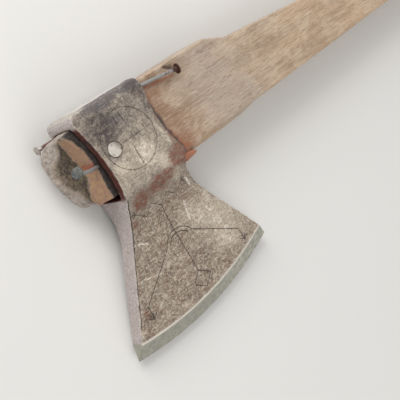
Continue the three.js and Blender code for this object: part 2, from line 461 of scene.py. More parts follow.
def blade_strokes():
    """A plain sign on the blade, alike on both sides of its stem, and how firmly each line is cut."""
    middle = 27.0
    zigzag = [(middle, 80.0), (middle + 7.0, 74.4), (middle + 14.0, 80.0), (middle + 21.0, 74.4)]
    arm = [(middle + 12.0, 107.0), (middle + 45.0, 129.0)]
    wrist = [(middle + 45.0, 129.0), (middle + 45.6, 138.0)]
    lozenge = [(middle, 132.6), (middle + 8.0, 139.0), (middle, 145.4)]
    arch = (middle, 112.5)
    firm_halves = [arm, wrist, lozenge]
    firm_halves += fan(zigzag[-1], 3.0, (-70, -20, 30))
    firm_halves += fan(wrist[-1], 4.2, (215, 255, 290, 325))
    firm = firm_halves + [mirrored(line, middle) for line in firm_halves]
    firm.append([(middle, 80.0), (middle, 132.6)])
    firm += [arc(arch, 13.2, 205, 335), arc(arch, 10.4, 215, 325)]
    return [(zigzag, 0.55), (mirrored(zigzag, middle), 0.55)] + [(line, 0.9) for line in firm]


def toe_crack():
    """The open line down the toe side of the upper cheek: its parts, half widths, depths and firmness."""
    above = [(3.5, 63.0), (2.6, 70.0), (1.1, 78.0), (-2.2, 86.5), (-6.6, 95.0)]
    below = [(-6.6, 95.0), (-12.7, 106.0), (-20.8, 120.8), (-29.6, 137.0)]
    return (above, 0.46, 0.75, 1.0), (below, 0.30, 0.5, 0.7)


def straight_parts(line):
    """Cuts a line at its sharp corners, so that each part is one clean cutter."""
    line = np.asarray(line, float)
    parts, current = [], [line[0]]
    for i in range(1, len(line) - 1):
        current.append(line[i])
        a, b = line[i] - line[i - 1], line[i + 1] - line[i]
        cosine = a @ b / (np.linalg.norm(a) * np.linalg.norm(b))
        if math.degrees(math.acos(np.clip(cosine, -1, 1))) > SHARP_CORNER:
            parts.append(np.array(current))
            current = [line[i]]
    current.append(line[-1])
    parts.append(np.array(current))
    return parts


def groove_cutter(line, half, depth, tree):
    """A V-section bar that lies along the line on the cheek, thinner at its ends."""
    above = 0.9
    line = resample(line, STROKE_STEP)
    ahead = np.gradient(line, axis=0)
    ahead /= np.linalg.norm(ahead, axis=1)[:, None]
    aside = np.stack((-ahead[:, 1], ahead[:, 0]), 1)
    wobble = field(np.column_stack((line, np.full(len(line), half * 40))), 0.35, 2)
    line = line + aside * (0.14 * wobble)[:, None]
    count = len(line)
    from_end = np.minimum(np.arange(count), np.arange(count)[::-1]) * STROKE_STEP
    taper = np.clip(0.45 + from_end / 2.6, 0, 1) * (1 + 0.22 * wobble)
    vertices = []
    for i in range(count):
        start = Vector(to_axe([(line[i][0], line[i][1], 40.0)])[0])
        hit = tree.ray_cast(start, Vector((0, 0, -1)))[0]
        if hit is None:
            return None
        top = hit.z / MM
        reach = half * (1 + above / depth) * taper[i]
        vertices.append((line[i][0], line[i][1], top - depth * taper[i]))
        vertices.append((*(line[i] + aside[i] * reach), top + above))
        vertices.append((*(line[i] - aside[i] * reach), top + above))
    faces = tube_faces(count, 3)
    faces.append((0, 2, 1))
    faces.append((3 * count - 3, 3 * count - 2, 3 * count - 1))
    return new_piece("groove_cutter", vertices, faces)


def carve(piece, cutters):
    """Joins the cutters into one solid and takes it out of the piece."""
    whole = cutters[0]
    for cutter in cutters[1:]:
        join = whole.modifiers.new("join", "BOOLEAN")
        join.operation = "UNION"
        join.solver = "MANIFOLD"
        join.object = cutter
        work_in(whole)
        bpy.data.objects.remove(cutter)
    cut = piece.modifiers.new("cut", "BOOLEAN")
    cut.operation = "DIFFERENCE"
    cut.solver = "MANIFOLD"
    cut.object = whole
    before = len(piece.data.polygons)
    work_in(piece)
    bpy.data.objects.remove(whole)
    if len(piece.data.polygons) <= before:
        raise RuntimeError("the incised lines were not cut into the head")


# ---------------------------------------------------------------- the iron head
# Patches on the upper and on the lower face, each spot as u, v, radius and strength.
IRON_PATCHES = {
    "rust": (
        [
            (14, 67.5, 6, 1.3), (33, 65, 6, 1.3), (41, 64.4, 4, 0.9), (25, 66, 5, 0.9), (50, 58, 6, 1.0),
            (30, 82, 16, 0.28), (48, 84, 10, 0.25), (10, 70, 6, 0.7), (2.6, 80, 4.0, 1.0),
            (-21, 132, 4.5, 0.9), (46, 74, 9, 0.35), (51, 12, 5.5, 0.35), (52, 58, 8, 0.8),
            (43, 92, 7, 0.3), (14, 18, 9, 0.25),
        ],
        [
            (40, 20, 9, 0.7), (22, 66, 12, 0.9), (10, 90, 8, 0.6), (50, 104, 10, 0.6), (53, 40, 9, 0.8),
            (-5, 118, 9, 0.5), (30, 125, 7, 0.5),
        ],
    ),
    "worn": (
        [
            (43, 60, 6, 0.9), (46, 68, 5, 0.8), (33, 47, 8, 0.8), (27, 41, 6, 0.7), (16, 47, 7, 0.5),
            (66, 112, 15, 0.7), (52, 104, 14, 0.6), (60, 128, 8, 0.9), (42, 96, 8, 0.5), (35, 7, 5.0, 0.15),
            (44, 12, 5, 0.2), (11, 43.4, 4.5, 1.3), (35, 43, 4, 1.0), (43, 55.5, 4, 0.9), (82, 128, 9, 0.4),
            (36, 52, 7, 0.4),
        ],
        [(56, 120, 16, 0.6), (20, 45, 10, 0.5), (-10, 140, 9, 0.5)],
    ),
    "dusk": (
        [
            (9, 15, 9, 1.0), (14, 24, 8, 0.7), (40, 7, 9, 0.5), (24, 22, 6, 0.2), (18, 13, 8, 0.8),
            (34, 18, 6, 0.35), (50, 5, 6, 1.2), (51, 12, 5, 1.0), (52, 21, 4, 0.7), (7, 36, 7, 0.4),
        ],
        [(20, 20, 12, 0.8), (44, 52, 9, 0.6)],
    ),
    # A spot of painted shade by the poll corner.
    "blue": ([(26.5, 16, 4.2, 0.7)], []),
}
RUST_BY_HAFT = [(53.4, 27), (54.6, 40), (58.5, 54), (57, 62)]
WORN_BY_RING = [(48.5, 33), (51.5, 41), (52, 47)]
SCRATCHES = (
    ([(43.8, 88.0), (42.6, 94.0), (41.4, 100.2)], 0.8),
    ([(-5.0, 91.2), (0.2, 92.6), (4.6, 95.4)], 0.6),
    ([(52.0, 73.8), (53.6, 80.0)], 0.8),
    ([(-13.0, 112.6), (2.0, 117.0)], 0.4),
    ([(70.0, 100.0), (74.0, 108.0)], 0.4),
)
FLOOR_SIDE = -6.0


def iron_blank(settings):
    """The head's own outline as one fine even mesh."""
    mesh = frame["nodes"]["axe_head"].data.copy()
    mesh.transform(AXE.inverted())
    work = bmesh.new()
    work.from_mesh(mesh)
    bmesh.ops.remove_doubles(work, verts=work.verts, dist=2e-6)
    bmesh.ops.recalc_face_normals(work, faces=work.faces)
    work.to_mesh(mesh)
    work.free()
    mesh.materials.clear()
    piece = bpy.data.objects.new("iron_head", mesh)
    bpy.context.scene.collection.objects.link(piece)
    fine = piece.modifiers.new("fine", "REMESH")
    fine.mode = "SHARP"
    fine.octree_depth = 8
    fine.scale = settings.mesh_fineness
    fine.sharpness = 1.0
    fine.use_remove_disconnected = False
    work_in(piece)
    return piece


def eye_inside(points):
    """1 on the walls inside the eye, 0 outside."""
    u, v, n = points.T
    within = (v > EYE_START - 0.8) & (v < EYE_END + 0.8) & (np.abs(n) < EYE_HALF + 0.7)
    return (within & (u > -0.5) & (u < RIM_U + 4.5)).astype(float)


def from_edge_centre(points):
    """How far each point is from the middle of the cutting edge's arc."""
    return np.hypot(points[:, 0] - EDGE_CENTRE[0], points[:, 1] - EDGE_CENTRE[1])


def weather_iron(mesh, settings):
    """Rounds the corners, lays hammer marks and rust pits into the faces, and knocks the edges about."""
    points = corners_of(mesh)
    radius = from_edge_centre(points)
    blade_edge = smooth(EDGE_RADIUS - 3.0, EDGE_RADIUS - 1.0, radius)
    points = relax(points, edge_pairs(mesh), 0.45 * blade_edge, 4)
    put_corners(mesh, points)
    normals = normals_of(mesh)
    standing = sharpness(mesh, points, normals)
    bevel = smooth(BEVEL_START - 0.3, BEVEL_START + 0.3, radius)
    toe_facing = smooth(0.45, 0.75, -normals[:, 0])
    pits = np.maximum(0, field(points, 0.42, 4, shift=4.0) + 0.05) ** 1.5
    fine = np.abs(field(points, 1.05, 2, shift=9.0))
    sunk = settings.pit_depth / MM * (2.4 * pits + 0.35 * fine)
    sunk = sunk * (1 - 0.85 * bevel) * (1 - blade_edge) * (1 - 0.8 * toe_facing)
    rise = settings.hammer_marks / MM * field(points, 0.07, 2) * (1 - 0.8 * bevel)
    chips = np.maximum(0, field(points, 0.16, 2, shift=15.0)) * smooth(0.10, 0.34, standing)
    move = rise - sunk - chips * 0.9 * (1 - bevel)
    move = np.where(points[:, 2] < FLOOR_SIDE, np.minimum(move, 0), move)
    move = move * (1 - 0.6 * eye_inside(points)) * (1 - blade_edge)
    put_corners(mesh, points + normals * move[:, None])


def patches(name, flat, upper, lower):
    """One kind of patch on the upper and the lower face, as soft spots of u, v, radius and strength."""
    above, below = IRON_PATCHES[name]
    return upper * spots(flat, above) + lower * spots(flat, below)


def mask_iron(mesh, lines):
    """Says where the head is ground, worn, rusted, dark or marked, and where light and shade are painted:
    highlight on the poll face, the toe side and the outer edges, shade along the poll corner and in the eye.
    """
    points = corners_of(mesh)
    normals = normals_of(mesh)
    u, v, n = points.T
    flat = points[:, :2]
    upper = smooth(0.25, 0.6, normals[:, 2]) * (n > 0)
    lower = smooth(0.25, 0.6, -normals[:, 2]) * (n < 0)
    radius = from_edge_centre(points)
    bevel = smooth(BEVEL_START - 0.25, BEVEL_START + 0.25, radius)
    bright = np.exp(-(((radius - BEVEL_START + 0.2) / 0.75) ** 2))
    inside = eye_inside(points)
    marked = np.zeros(len(points))
    for line, half, firm in lines:
        marked = np.maximum(marked, firm * np.clip(1.3 - line_distance(flat, line) / half, 0, 1))
    marked *= n > 0
    # The toe side, picked by the way it faces, is lightened below as painted highlight.
    toe_side = smooth(0.45, 0.75, -normals[:, 0]) * (1 - inside) * (1 - bevel)
    # The end face of the wall over the eye; it takes the eye's painted shade below.
    wall_end = toe_side * smooth(7.5, 10.5, v) * smooth(63.5, 60.0, v) * smooth(9.0, 11.5, n)
    rust = patches("rust", flat, upper, lower) + 0.9 * upper * soft_line(flat, RUST_BY_HAFT, 3.6)
    worn = patches("worn", flat, upper, lower) + 0.9 * upper * soft_line(flat, WORN_BY_RING, 1.6)
    dusk = patches("dusk", flat, upper, lower)
    uneven = field(points, 0.16, 3, shift=27.0)
    poll = smooth(0.4, 0.8, -normals[:, 1]) * smooth(4.0, 2.0, v)
    # Painted shade: the rounded corner of the poll and the upper cheek is darkened to a bluish grey.
    poll_corner_zone = smooth(11.0, 14.5, n + 3.0 * uneven) * smooth(2.0, 14.0, u)
    blue = upper * smooth(7.5, 3.5, v + 4.0 * uneven) * smooth(2.0, 13.0, u)
    blue = np.maximum(blue + patches("blue", flat, upper, lower), poll * poll_corner_zone)
    scratch = np.zeros(len(points))
    for line, wide in SCRATCHES:
        scratch = np.maximum(scratch, upper * soft_line(flat, line, wide))
    in_disc = smooth(DISC_RADIUS - 0.2, DISC_RADIUS - 0.9, np.hypot(u - DISC[0], v - DISC[1]))
    standing = sharpness(mesh, points, normals)
    write_place(mesh, points)
    for name, values in {
        "bevel": bevel,
        "bright_line": bright * (np.abs(normals[:, 2]) > 0.4),
        "inside": inside,
        "wall_end": wall_end,
        "toe_side": toe_side * (1 - wall_end),
        "toe_end": smooth(66, 20, u),
        # Painted highlight: the poll face is lightened.
        "poll_side": poll * (1 - poll_corner_zone) * (0.45 + 0.55 * smooth(5, 10, u)),
        "marked": marked,
        "rust": np.clip(rust, 0, 1.2),
        "worn": np.clip(worn, 0, 1.2),
        "dusk": np.clip(dusk, 0, 1),
        "blue": np.clip(blue, 0, 1),
        "scratch": scratch,
        "disc": upper * in_disc * smooth(20.0, 14.0, u - 0.45 * (v - DISC[1])),
        "standing": smooth(0.10, 0.45, standing) * (1 - inside),
        "sunken": smooth(0.05, 0.30, -standing),
        "blade": smooth(66, 84, v),
    }.items():
        write_mask(mesh, name, values)


def iron_finish(settings):
    """Old forged iron: brown-grey skin with pale rubbed specks, rust bloom and a ground bevel, with painted
    highlight on the poll face, the toe side and the outer edges and painted shade along the poll corner and
    in the eye.
    """
    f = Finish("old_forged_iron")
    broad = f.grain(0.085, 6, 0.6, twist=0.6)
    cloud = f.grain(0.3, 8, 0.68, twist=0.4, shift=3.0)
    speck = f.grain(0.95, 6, 0.7, shift=7.0)
    dust = f.grain(2.6, 3, 0.6, shift=11.0)
    streak = f.grain(0.5, 6, 0.7, stretch=(0.5, 1.6, 1), shift=19.0)
    blade = f.mask("blade")
    skin = f.mix(f.range(broad, 0.36, 0.66), settings.skin_dark, settings.skin_mid)
    skin = f.over(
        skin, settings.skin_light, f.range(cloud, 0.44, 0.64), f.range(blade, 0.0, 1.0, 0.7, 0.85)
    )
    skin = f.over(skin, settings.skin_brown, f.range(cloud, 0.5, 0.34), f.range(blade, 0.0, 1.0, 0.3, 0.65))
    skin = f.over(skin, settings.skin_dusk, "dusk", f.range(cloud, 0.66, 0.4, 0.55, 1.0))
    # Painted shade along the rounded poll corner.
    skin = f.over(skin, settings.poll_corner_shade_grey, "blue", f.range(cloud, 0.35, 0.6, 0.45, 0.95))
    quiet = f.less(1.0, f.both(f.math("MAXIMUM", "dusk", "blue"), 0.75))
    skin = f.over(
        skin, settings.rubbed, f.range(speck, 0.52, 0.61), quiet, f.range(blade, 0.0, 1.0, 0.5, 0.95)
    )
    skin = f.over(skin, settings.pit_dark, f.range(speck, 0.47, 0.37), f.range(blade, 0.0, 1.0, 0.5, 0.9))
    pale = f.grain(0.22, 8, 0.72, shift=23.0)
    skin = f.over(skin, settings.skin_brown, blade, f.range(streak, 0.42, 0.6), 0.65)
    skin = f.over(skin, settings.rubbed, blade, f.range(pale, 0.52, 0.68), 0.7)
    for angle, shift in ((28, 43.0), (-52, 47.0), (74, 53.0)):
        scratched = f.grain(1.3, 3, 0.5, stretch=(0.07, 1.5, 1), shift=shift, turn=angle)
        skin = f.over(skin, settings.rubbed, f.range(scratched, 0.62, 0.72), f.range(cloud, 0.4, 0.58), 0.6)
    skin = f.over(skin, settings.rubbed, "worn", f.range(speck, 0.36, 0.62, 0.35, 1.0))
    skin = f.over(skin, settings.rubbed_bright, "worn", f.range(cloud, 0.52, 0.64, 0.0, 0.75))
    skin = f.over(skin, settings.rubbed_disc, "disc", f.range(cloud, 0.3, 0.6, 0.65, 1.0))
    # Painted highlight: the toe side is lightened, over its own greyish tone.
    toe = f.mix(f.range(streak, 0.35, 0.65), settings.toe_dark, settings.toe_light)
    skin = f.over(skin, toe, "toe_side", 0.85)
    # Painted highlight: the poll face is lightened towards a pale grey.
    skin = f.over(skin, settings.poll_light, "poll_side", f.range(cloud, 0.32, 0.6, 0.55, 0.9))
    # Outer edges lightened: partly rubbed wear, partly painted highlight.
    skin = f.over(skin, settings.edge_wear_and_highlight, "standing", f.range(cloud, 0.36, 0.6, 0.2, 0.75))
    bloom = f.add("rust", f.both(f.range(broad, 0.6, 0.74), 0.35))
    bloom = f.both(bloom, f.range(cloud, 0.3, 0.66, 0.5, 1.0), f.range(streak, 0.36, 0.62, 0.55, 1.2))
    skin = f.over(
        skin, settings.rust_dark, f.range(bloom, 0.05, 1.05), f.range(speck, 0.25, 0.7, 0.7, 0.95)
    )
    skin = f.over(skin, settings.rust, f.range(bloom, 0.3, 1.25), f.range(speck, 0.28, 0.72), 0.85)
    skin = f.over(skin, settings.pit_dark, "sunken", f.less(1.0, f.both("toe_side", 0.8)), 0.6)
    skin = f.over(skin, settings.rubbed_bright, "scratch", f.range(speck, 0.4, 0.52))
    # Inside the eye and on the end of its wall: painted shade with dirt, and red rust.
    deep = f.mix(f.range(cloud, 0.3, 0.56), settings.eye_dark_shade_and_dirt, settings.eye_red)
    skin = f.over(skin, deep, f.math("MAXIMUM", "inside", "wall_end"))
    ground = f.mix(
        f.range(f.grain(0.35, 7, 0.7, shift=31.0), 0.34, 0.66), settings.bevel_dark, settings.bevel_light
    )
    ground = f.over(ground, settings.bevel_spot, f.range(speck, 0.6, 0.72), 0.25)
    ground = f.over(ground, settings.bevel_dark, "toe_end", 0.5)
    skin = f.over(skin, ground, "bevel")
    skin = f.over(skin, settings.rubbed_bright, "bright_line", f.range(speck, 0.26, 0.46, 0.6, 1.0))
    inked = f.range(f.grain(0.45, 4, 0.6, shift=59.0), 0.34, 0.6, 0.55, 1.0)
    skin = f.over(skin, settings.groove_dark, "marked", inked)
    rough = f.less(f.range(cloud, 0.3, 0.7, 0.5, 0.74), f.both("bevel", 0.1))
    rough = f.math("ADD", rough, f.both(f.range(bloom, 0.2, 0.8), 0.12), clamp=True)
    metal = f.range(f.add(bloom, "inside"), 0.1, 0.8, settings.metal_look, 0.02)
    relief = f.add(f.both(cloud, 0.7), f.both(speck, 0.8), f.both(dust, 0.25))
    return f.done(skin, rough, metal, relief, settings.fine_relief)


# ---------------------------------------------------------------- the haft
# The wide part's two sides, as u and v.
POLL_SIDE = [
    (55.3, 3.5), (118, 3.3), (121, 3.6), (123.5, 4.5), (127, 5.9), (139, 10.4), (142, 11.3), (147, 12.0),
    (160, 12.7), (330, 27.0), (399, 29.0), (405, 29.6),
]
BLADE_SIDE = [
    (55.3, 59.6), (59.0, 60.2), (64.5, 62.0), (72.8, 64.3), (122, 64.3), (127, 63.4), (132, 62.2),
    (138, 61.5), (147, 61.3), (399, 60.2), (405, 60.0),
]
# The battered stub, as v and u: where its upper side ends, the ridge below that, its lip and its crown.
STUB_NEAR = [
    (8, -10), (9.6, -9.8), (14, -5.4), (19, -4.0), (23, -1.8), (33, -1.2), (39, -0.2), (44, -0.6),
    (50, -1.6), (56, -1.2),
]
STUB_RIDGE = [
    (8, -10), (11, -11.2), (18, -8.4), (24, -7.0), (32, -4.8), (39, -4.4), (46, -6.8), (52, -9.4),
    (57, -8.6),
]
STUB_LIP = [(7, -3), (10, -9.5), (19, -14.6), (28, -17.4), (37, -16.6), (45, -14.4), (54, -9.9), (58, -3)]
STUB_CROWN = [
    (7.9, -6), (9.5, -13), (12.6, -18.0), (17, -20.8), (22, -22.0), (33, -21.2), (40, -19.8), (46, -17.8),
    (52, -15.4), (55.5, -12.6), (58, -4),
]
STUB_ROOT = 6.0
STUB_MIDDLE = (31.5, -1.0)
STUB_RINGS = 46
GRIP_LAST = 399.0
# Where the stub's facets are fresh and its rim is pale, as v and n, and where the iron covers the haft.
FRESH_REACH = [(8, 7.0), (13, 4.8), (20, 3.6), (30, 3.2), (40, 3.4), (50, 2.2), (57, 1.2)]
RIM_LEVEL = [(7, 9), (12, 3.0), (20, -3.4), (28, -5.6), (37, -5.0), (45, -3.6), (54, -1.2), (58, 1)]
IRON_RIM = [(4, 58.2), (26, 57.6), (42, 59.4), (57, 63.2), (66, 65.0)]
STAIN_BY_IRON = [(5, 0.35), (25, 0.45), (40, 0.6), (54, 1.0), (60, 1.15), (66, 1.1)]
# How strongly the seam by the iron rim is darkened along v, as painted shadow of the gap.
SEAM_BY_IRON = [(18, 0.25), (24, 1.0), (60, 1.0), (62, 0.5)]
# Lines of stain along two nails, and soft spots of rust and grey on the haft.
STAIN_BY_HAFT_NAIL = [(58, 9.8), (70, 11.6), (84, 13.6)]
STAIN_BY_STUB_NAIL = [(0.0, 34.0), (-5.0, 33.0)]
WOOD_RUST = [(66, 17, 8, 0.30), (68, 52, 8, 0.22), (80, 53, 8, 0.25), (66, 61, 4, 0.7)]
WOOD_GREY = [(112, 14, 18, 0.8), (118, 50, 26, 0.9), (104, 30, 20, 0.55), (136, 56, 14, 0.6)]
BRUISE = [(80.4, 5.9), (85.6, 9.2)]
CHAMFER_TOP_V = 60.3
CHAMFER_SLOPE = 4.0 / 3.0


def section(u):
    """The haft's section at u: its outline in v, n, a fixed count of points in a fixed order."""
    if u < SHOULDER_U:
        low = TENON_START
        high = float(table(u, [(11.0, STUB_EDGE_SIDE), (14.0, TENON_END)]))
        share = np.clip((u + 2.5) / (SHOULDER_U + 2.5), 0, 1)
        top = TENON_TOP_HALF + (HAFT_HALF - TENON_TOP_HALF) * share
        bevel_v, round_over = 0.8, 1.3
    else:
        low = table(u, POLL_SIDE)
        high = table(u, BLADE_SIDE)
        top = HAFT_HALF
        bevel_v = max(0.7, high - CHAMFER_TOP_V)
        round_over = 1.2
    bottom = -HAFT_HALF
    rise = bevel_v * CHAMFER_SLOPE
    keys = [
        ((low, top), round_over * 1.5, 64),
        ((high - bevel_v, top), round_over, 8),
        ((high, top - rise), round_over, 16),
        ((high, bottom + rise), round_over, 8),
        ((high - bevel_v, bottom), round_over, 40),
        ((low, bottom), round_over * 1.5, 28),
    ]
    places = [np.array(k[0], float) for k in keys]
    outline = []
    for i, (_, cut, count) in enumerate(keys):
        before, here, after = places[i - 1], places[i], places[(i + 1) % len(keys)]
        back, ahead = before - here, after - here
        cut_back = min(cut, 0.35 * np.linalg.norm(back))
        cut_ahead = min(cut, 0.35 * np.linalg.norm(ahead))
        start = here + back / np.linalg.norm(back) * cut_back
        end = here + ahead / np.linalg.norm(ahead) * cut_ahead
        for t in np.linspace(0, 1, 6):
            outline.append((1 - t) ** 2 * start + 2 * t * (1 - t) * here + t * t * end)
        next_cut = min(keys[(i + 1) % len(keys)][1], 0.35 * np.linalg.norm(ahead))
        goal = after - ahead / np.linalg.norm(ahead) * next_cut
        for t in np.linspace(0, 1, count + 2)[1:-1]:
            outline.append(end + (goal - end) * t)
    return np.array(outline)


def stub_height(v, n):
    """Where the battered stub ends, as u over its section: cut facets, a rotten hollow and a rounded rim."""
    near = table(v, STUB_NEAR)
    crown = table(v, STUB_CROWN)
    rows = np.array([near, near, table(v, STUB_RIDGE), table(v, STUB_LIP), crown, crown + 1.0, crown + 3.5])
    levels = np.array([13.0, 10.2, 4.0, -4.0, -7.6, -10.2, -12.6])
    made = [np.interp(n[i], levels[::-1], rows[::-1, i]) for i in range(len(v))]
    bowl = np.exp(-(((v - 29) / 15) ** 2) - ((n + 0.2) / 3.4) ** 2)
    return np.array(made) + 3.0 * bowl


def at_station(u, outline):
    """An outline in v, n set at one u or at a u for each of its points."""
    return np.column_stack((np.broadcast_to(u, len(outline)), outline))


def haft_points():
    """The haft as rings along its length, with the stub and the butt closed by rings of their own."""
    inner = np.arange(8.0, SHOULDER_U - 1.0, 3.2)
    shoulder = [SHOULDER_U - 0.01, SHOULDER_U, SHOULDER_U + 0.5]
    wide = np.arange(SHOULDER_U + 1.6, 250.0, 1.5)
    grip = np.arange(250.0, 397.0, 2.3)
    rings = [at_station(u, section(u)) for u in np.concatenate((inner, shoulder, wide, grip))]
    last = section(GRIP_LAST)
    middle = last.mean(0)
    for angle in np.linspace(0.0, 1.0, 8) * math.pi / 2:
        inset = 1 - (1 - math.cos(angle)) * 0.16
        rings.append(at_station(398.4 + 6.2 * math.sin(angle), middle + (last - middle) * inset))
    for share in (0.9, 0.78, 0.64, 0.5, 0.36, 0.22, 0.1):
        rings.append(at_station(GRIP_END - 0.3, middle + (last - middle) * 0.84 * share))
    first = section(STUB_ROOT)
    centre = np.array(STUB_MIDDLE)
    edge = centre + (first - centre) * 0.985
    brim = stub_height(edge[:, 0], edge[:, 1]) + 0.5
    stub = []
    for t in np.linspace(0, 1, 14)[1:]:
        swell = 1 - 0.02 * smooth(0.6, 1.0, t)
        stub.append(at_station(STUB_ROOT + (brim - STUB_ROOT) * t, centre + (first - centre) * swell))
    for k in range(1, STUB_RINGS):
        share = (1 - (k / STUB_RINGS) ** 1.35) * 0.975
        outline = centre + (first - centre) * share
        stub.append(at_station(stub_height(outline[:, 0], outline[:, 1]), outline))
    return stub[::-1] + [at_station(STUB_ROOT, first)] + rings


def haft_mesh():
    """The haft's closed mesh."""
    rings = haft_points()
    size = len(rings[0])
    faces = tube_faces(len(rings), size)
    vertices = np.vstack((*rings, rings[0].mean(0), rings[-1].mean(0)))
    head, tail = len(vertices) - 2, len(vertices) - 1
    last = (len(rings) - 1) * size
    for k in range(size):
        m = (k + 1) % size
        faces.append((head, m, k))
        faces.append((tail, last + k, last + m))
    return new_piece("wooden_haft", vertices, faces)


def weather_wood(mesh, settings):
    """Lifts the grain, leaves soft shaving flats and batters the stub."""
    points = corners_of(mesh)
    normals = normals_of(mesh)
    u, v, n = points.T
    stub = smooth(7.0, 3.0, u)
    ridge = field(points, 0.9, 3, stretch=(0.035, 1.0, 0.9))
    shaved = field(points, 0.05, 2, stretch=(0.5, 1, 1), shift=5.0)
    dents = np.maximum(0, field(points, 0.22, 2, stretch=(0.5, 1, 1), shift=8.0) - 0.25)
    grain = settings.grain_relief / MM
    move = -np.abs(ridge) * grain - 0.25 * np.abs(shaved) - dents * 0.5
    hidden = smooth(3.0, 6.0, u) * smooth(SHOULDER_U, SHOULDER_U - 0.02, u)
    move = np.where(hidden > 0.5, np.minimum(move * 0.4, 0), move)
    battered = field(points, 0.17, 4, shift=12.0)
    splinter = field(points, 0.75, 4, stretch=(0.6, 1.0, 1.0), shift=16.0)
    fresh, hollow = stub_zones(points)[:2]
    ringed = field(points, 0.34, 4, stretch=(1.6, 0.35, 1.3), shift=26.0)
    bruise = (0.55 * battered + 0.35 * ringed) * (1 - 0.75 * fresh)
    bruise += splinter * (0.03 + 0.40 * hollow) * (1 - 0.6 * fresh)
    side = smooth(8.8, 9.6, n)
    move = move * (1 - stub) + stub * (1 - 0.8 * side) * np.clip(bruise - 0.3, -2.0, 0.5)
    move -= 1.1 * bruise_mark(points)
    put_corners(mesh, points + normals * move[:, None])


def bruise_mark(points):
    """The short dark bruise in the wood beside the haft nail's head."""
    wide = 0.5 + 0.16 * (points[:, 0] - 79.0).clip(0, 7)
    return soft_line(points[:, :2], BRUISE, wide) * (points[:, 2] > 8)


def stub_zones(points):
    """Shares of fresh-cut facet, dark hollow, pale rim and the side band, dark with dirt and painted shade,
    over the stub.
    """
    u, v, n = points.T
    outside = smooth(6.5, 4.0, u)
    ragged = 0.9 * field(points, 0.30, 3, shift=21.0)
    level = n + ragged
    past_end = u - table(v, STUB_NEAR) - 1.5 - 0.5 * ragged
    band = outside * smooth(8.7, 9.3, n + 0.3 * ragged) * smooth(-0.3, 0.4, past_end)
    reach = table(v, FRESH_REACH)
    fresh = outside * (1 - band) * smooth(reach - 0.5, reach + 0.5, level) * smooth(9.0, 12.0, v)
    rim_level = table(v, RIM_LEVEL)
    hollow = outside * smooth(rim_level - 2.2, rim_level + 2.0, level) * (1 - fresh) * (1 - band)
    rim = outside * (1 - fresh) * (1 - hollow) * (1 - band)
    return fresh, hollow, band, rim


def mask_wood(mesh):
    """Says where the haft is cut, rotten, rust-stained or grey with handling, warm along the grip, and where
    highlight is painted on its blade-side chamfer and shade in the seam by the iron, on the stub's side and
    in the eye.
    """
    points = corners_of(mesh)
    normals = normals_of(mesh)
    u, v, n = points.T
    flat = points[:, :2]
    fresh, hollow, band, rim = stub_zones(points)
    upper = smooth(0.3, 0.7, normals[:, 2])
    past_rim = smooth(SHOULDER_U - 0.6, SHOULDER_U + 0.6, u)
    past = u - table(v, IRON_RIM)
    soaked = 0.62 * smooth(2.8, 0.4, past) + 0.34 * smooth(17.0, 1.0, past)
    rust = past_rim * table(v, STAIN_BY_IRON) * soaked
    # Painted shadow: the haft is darkened in the seam against the iron rim.
    seam = past_rim * smooth(0.7, 0.1, past) * table(v, SEAM_BY_IRON)
    rust += past_rim * upper * (0.75 * soft_line(flat, STAIN_BY_HAFT_NAIL, 1.3) + spots(flat, WOOD_RUST))
    rust += (u < 4) * (n > 3) * soft_line(flat, STAIN_BY_STUB_NAIL, 2.6)
    grey = past_rim * spots(flat, WOOD_GREY)
    grey += past_rim * 0.7 * smooth(0.35, 0.8, -normals[:, 1])
    # Painted highlight: the blade-side chamfer is lightened; the grip's warmer tone below is its own.
    yellow = past_rim * smooth(0.25, 0.6, normals[:, 1]) * smooth(0.98, 0.6, normals[:, 1])
    yellow += past_rim * 0.45 * smooth(150, 240, u)
    handled = past_rim * smooth(180, 300, u)
    standing = sharpness(mesh, points, normals)
    write_place(mesh, points)
    for name, values in {
        "fresh": fresh,
        "hollow": hollow,
        "band": band,
        "rim": rim,
        "rust": np.clip(rust, 0, 1.2),
        "grey": np.clip(grey, 0, 1),
        "yellow": np.clip(yellow, 0, 1),
        "gouge": bruise_mark(points),
        "handled": handled,
        "seam": seam,
        "in_eye": smooth(2.9, 3.7, u) * smooth(SHOULDER_U + 0.2, SHOULDER_U - 0.4, u),
        "near_head": past_rim * smooth(112, 66, u),
        "standing": smooth(0.06, 0.3, standing),
        "sunken": smooth(0.03, 0.22, -standing),
        "end_grain": smooth(0.7, 0.9, normals[:, 0]) * (u > 380),
    }.items():
        write_mask(mesh, name, values)


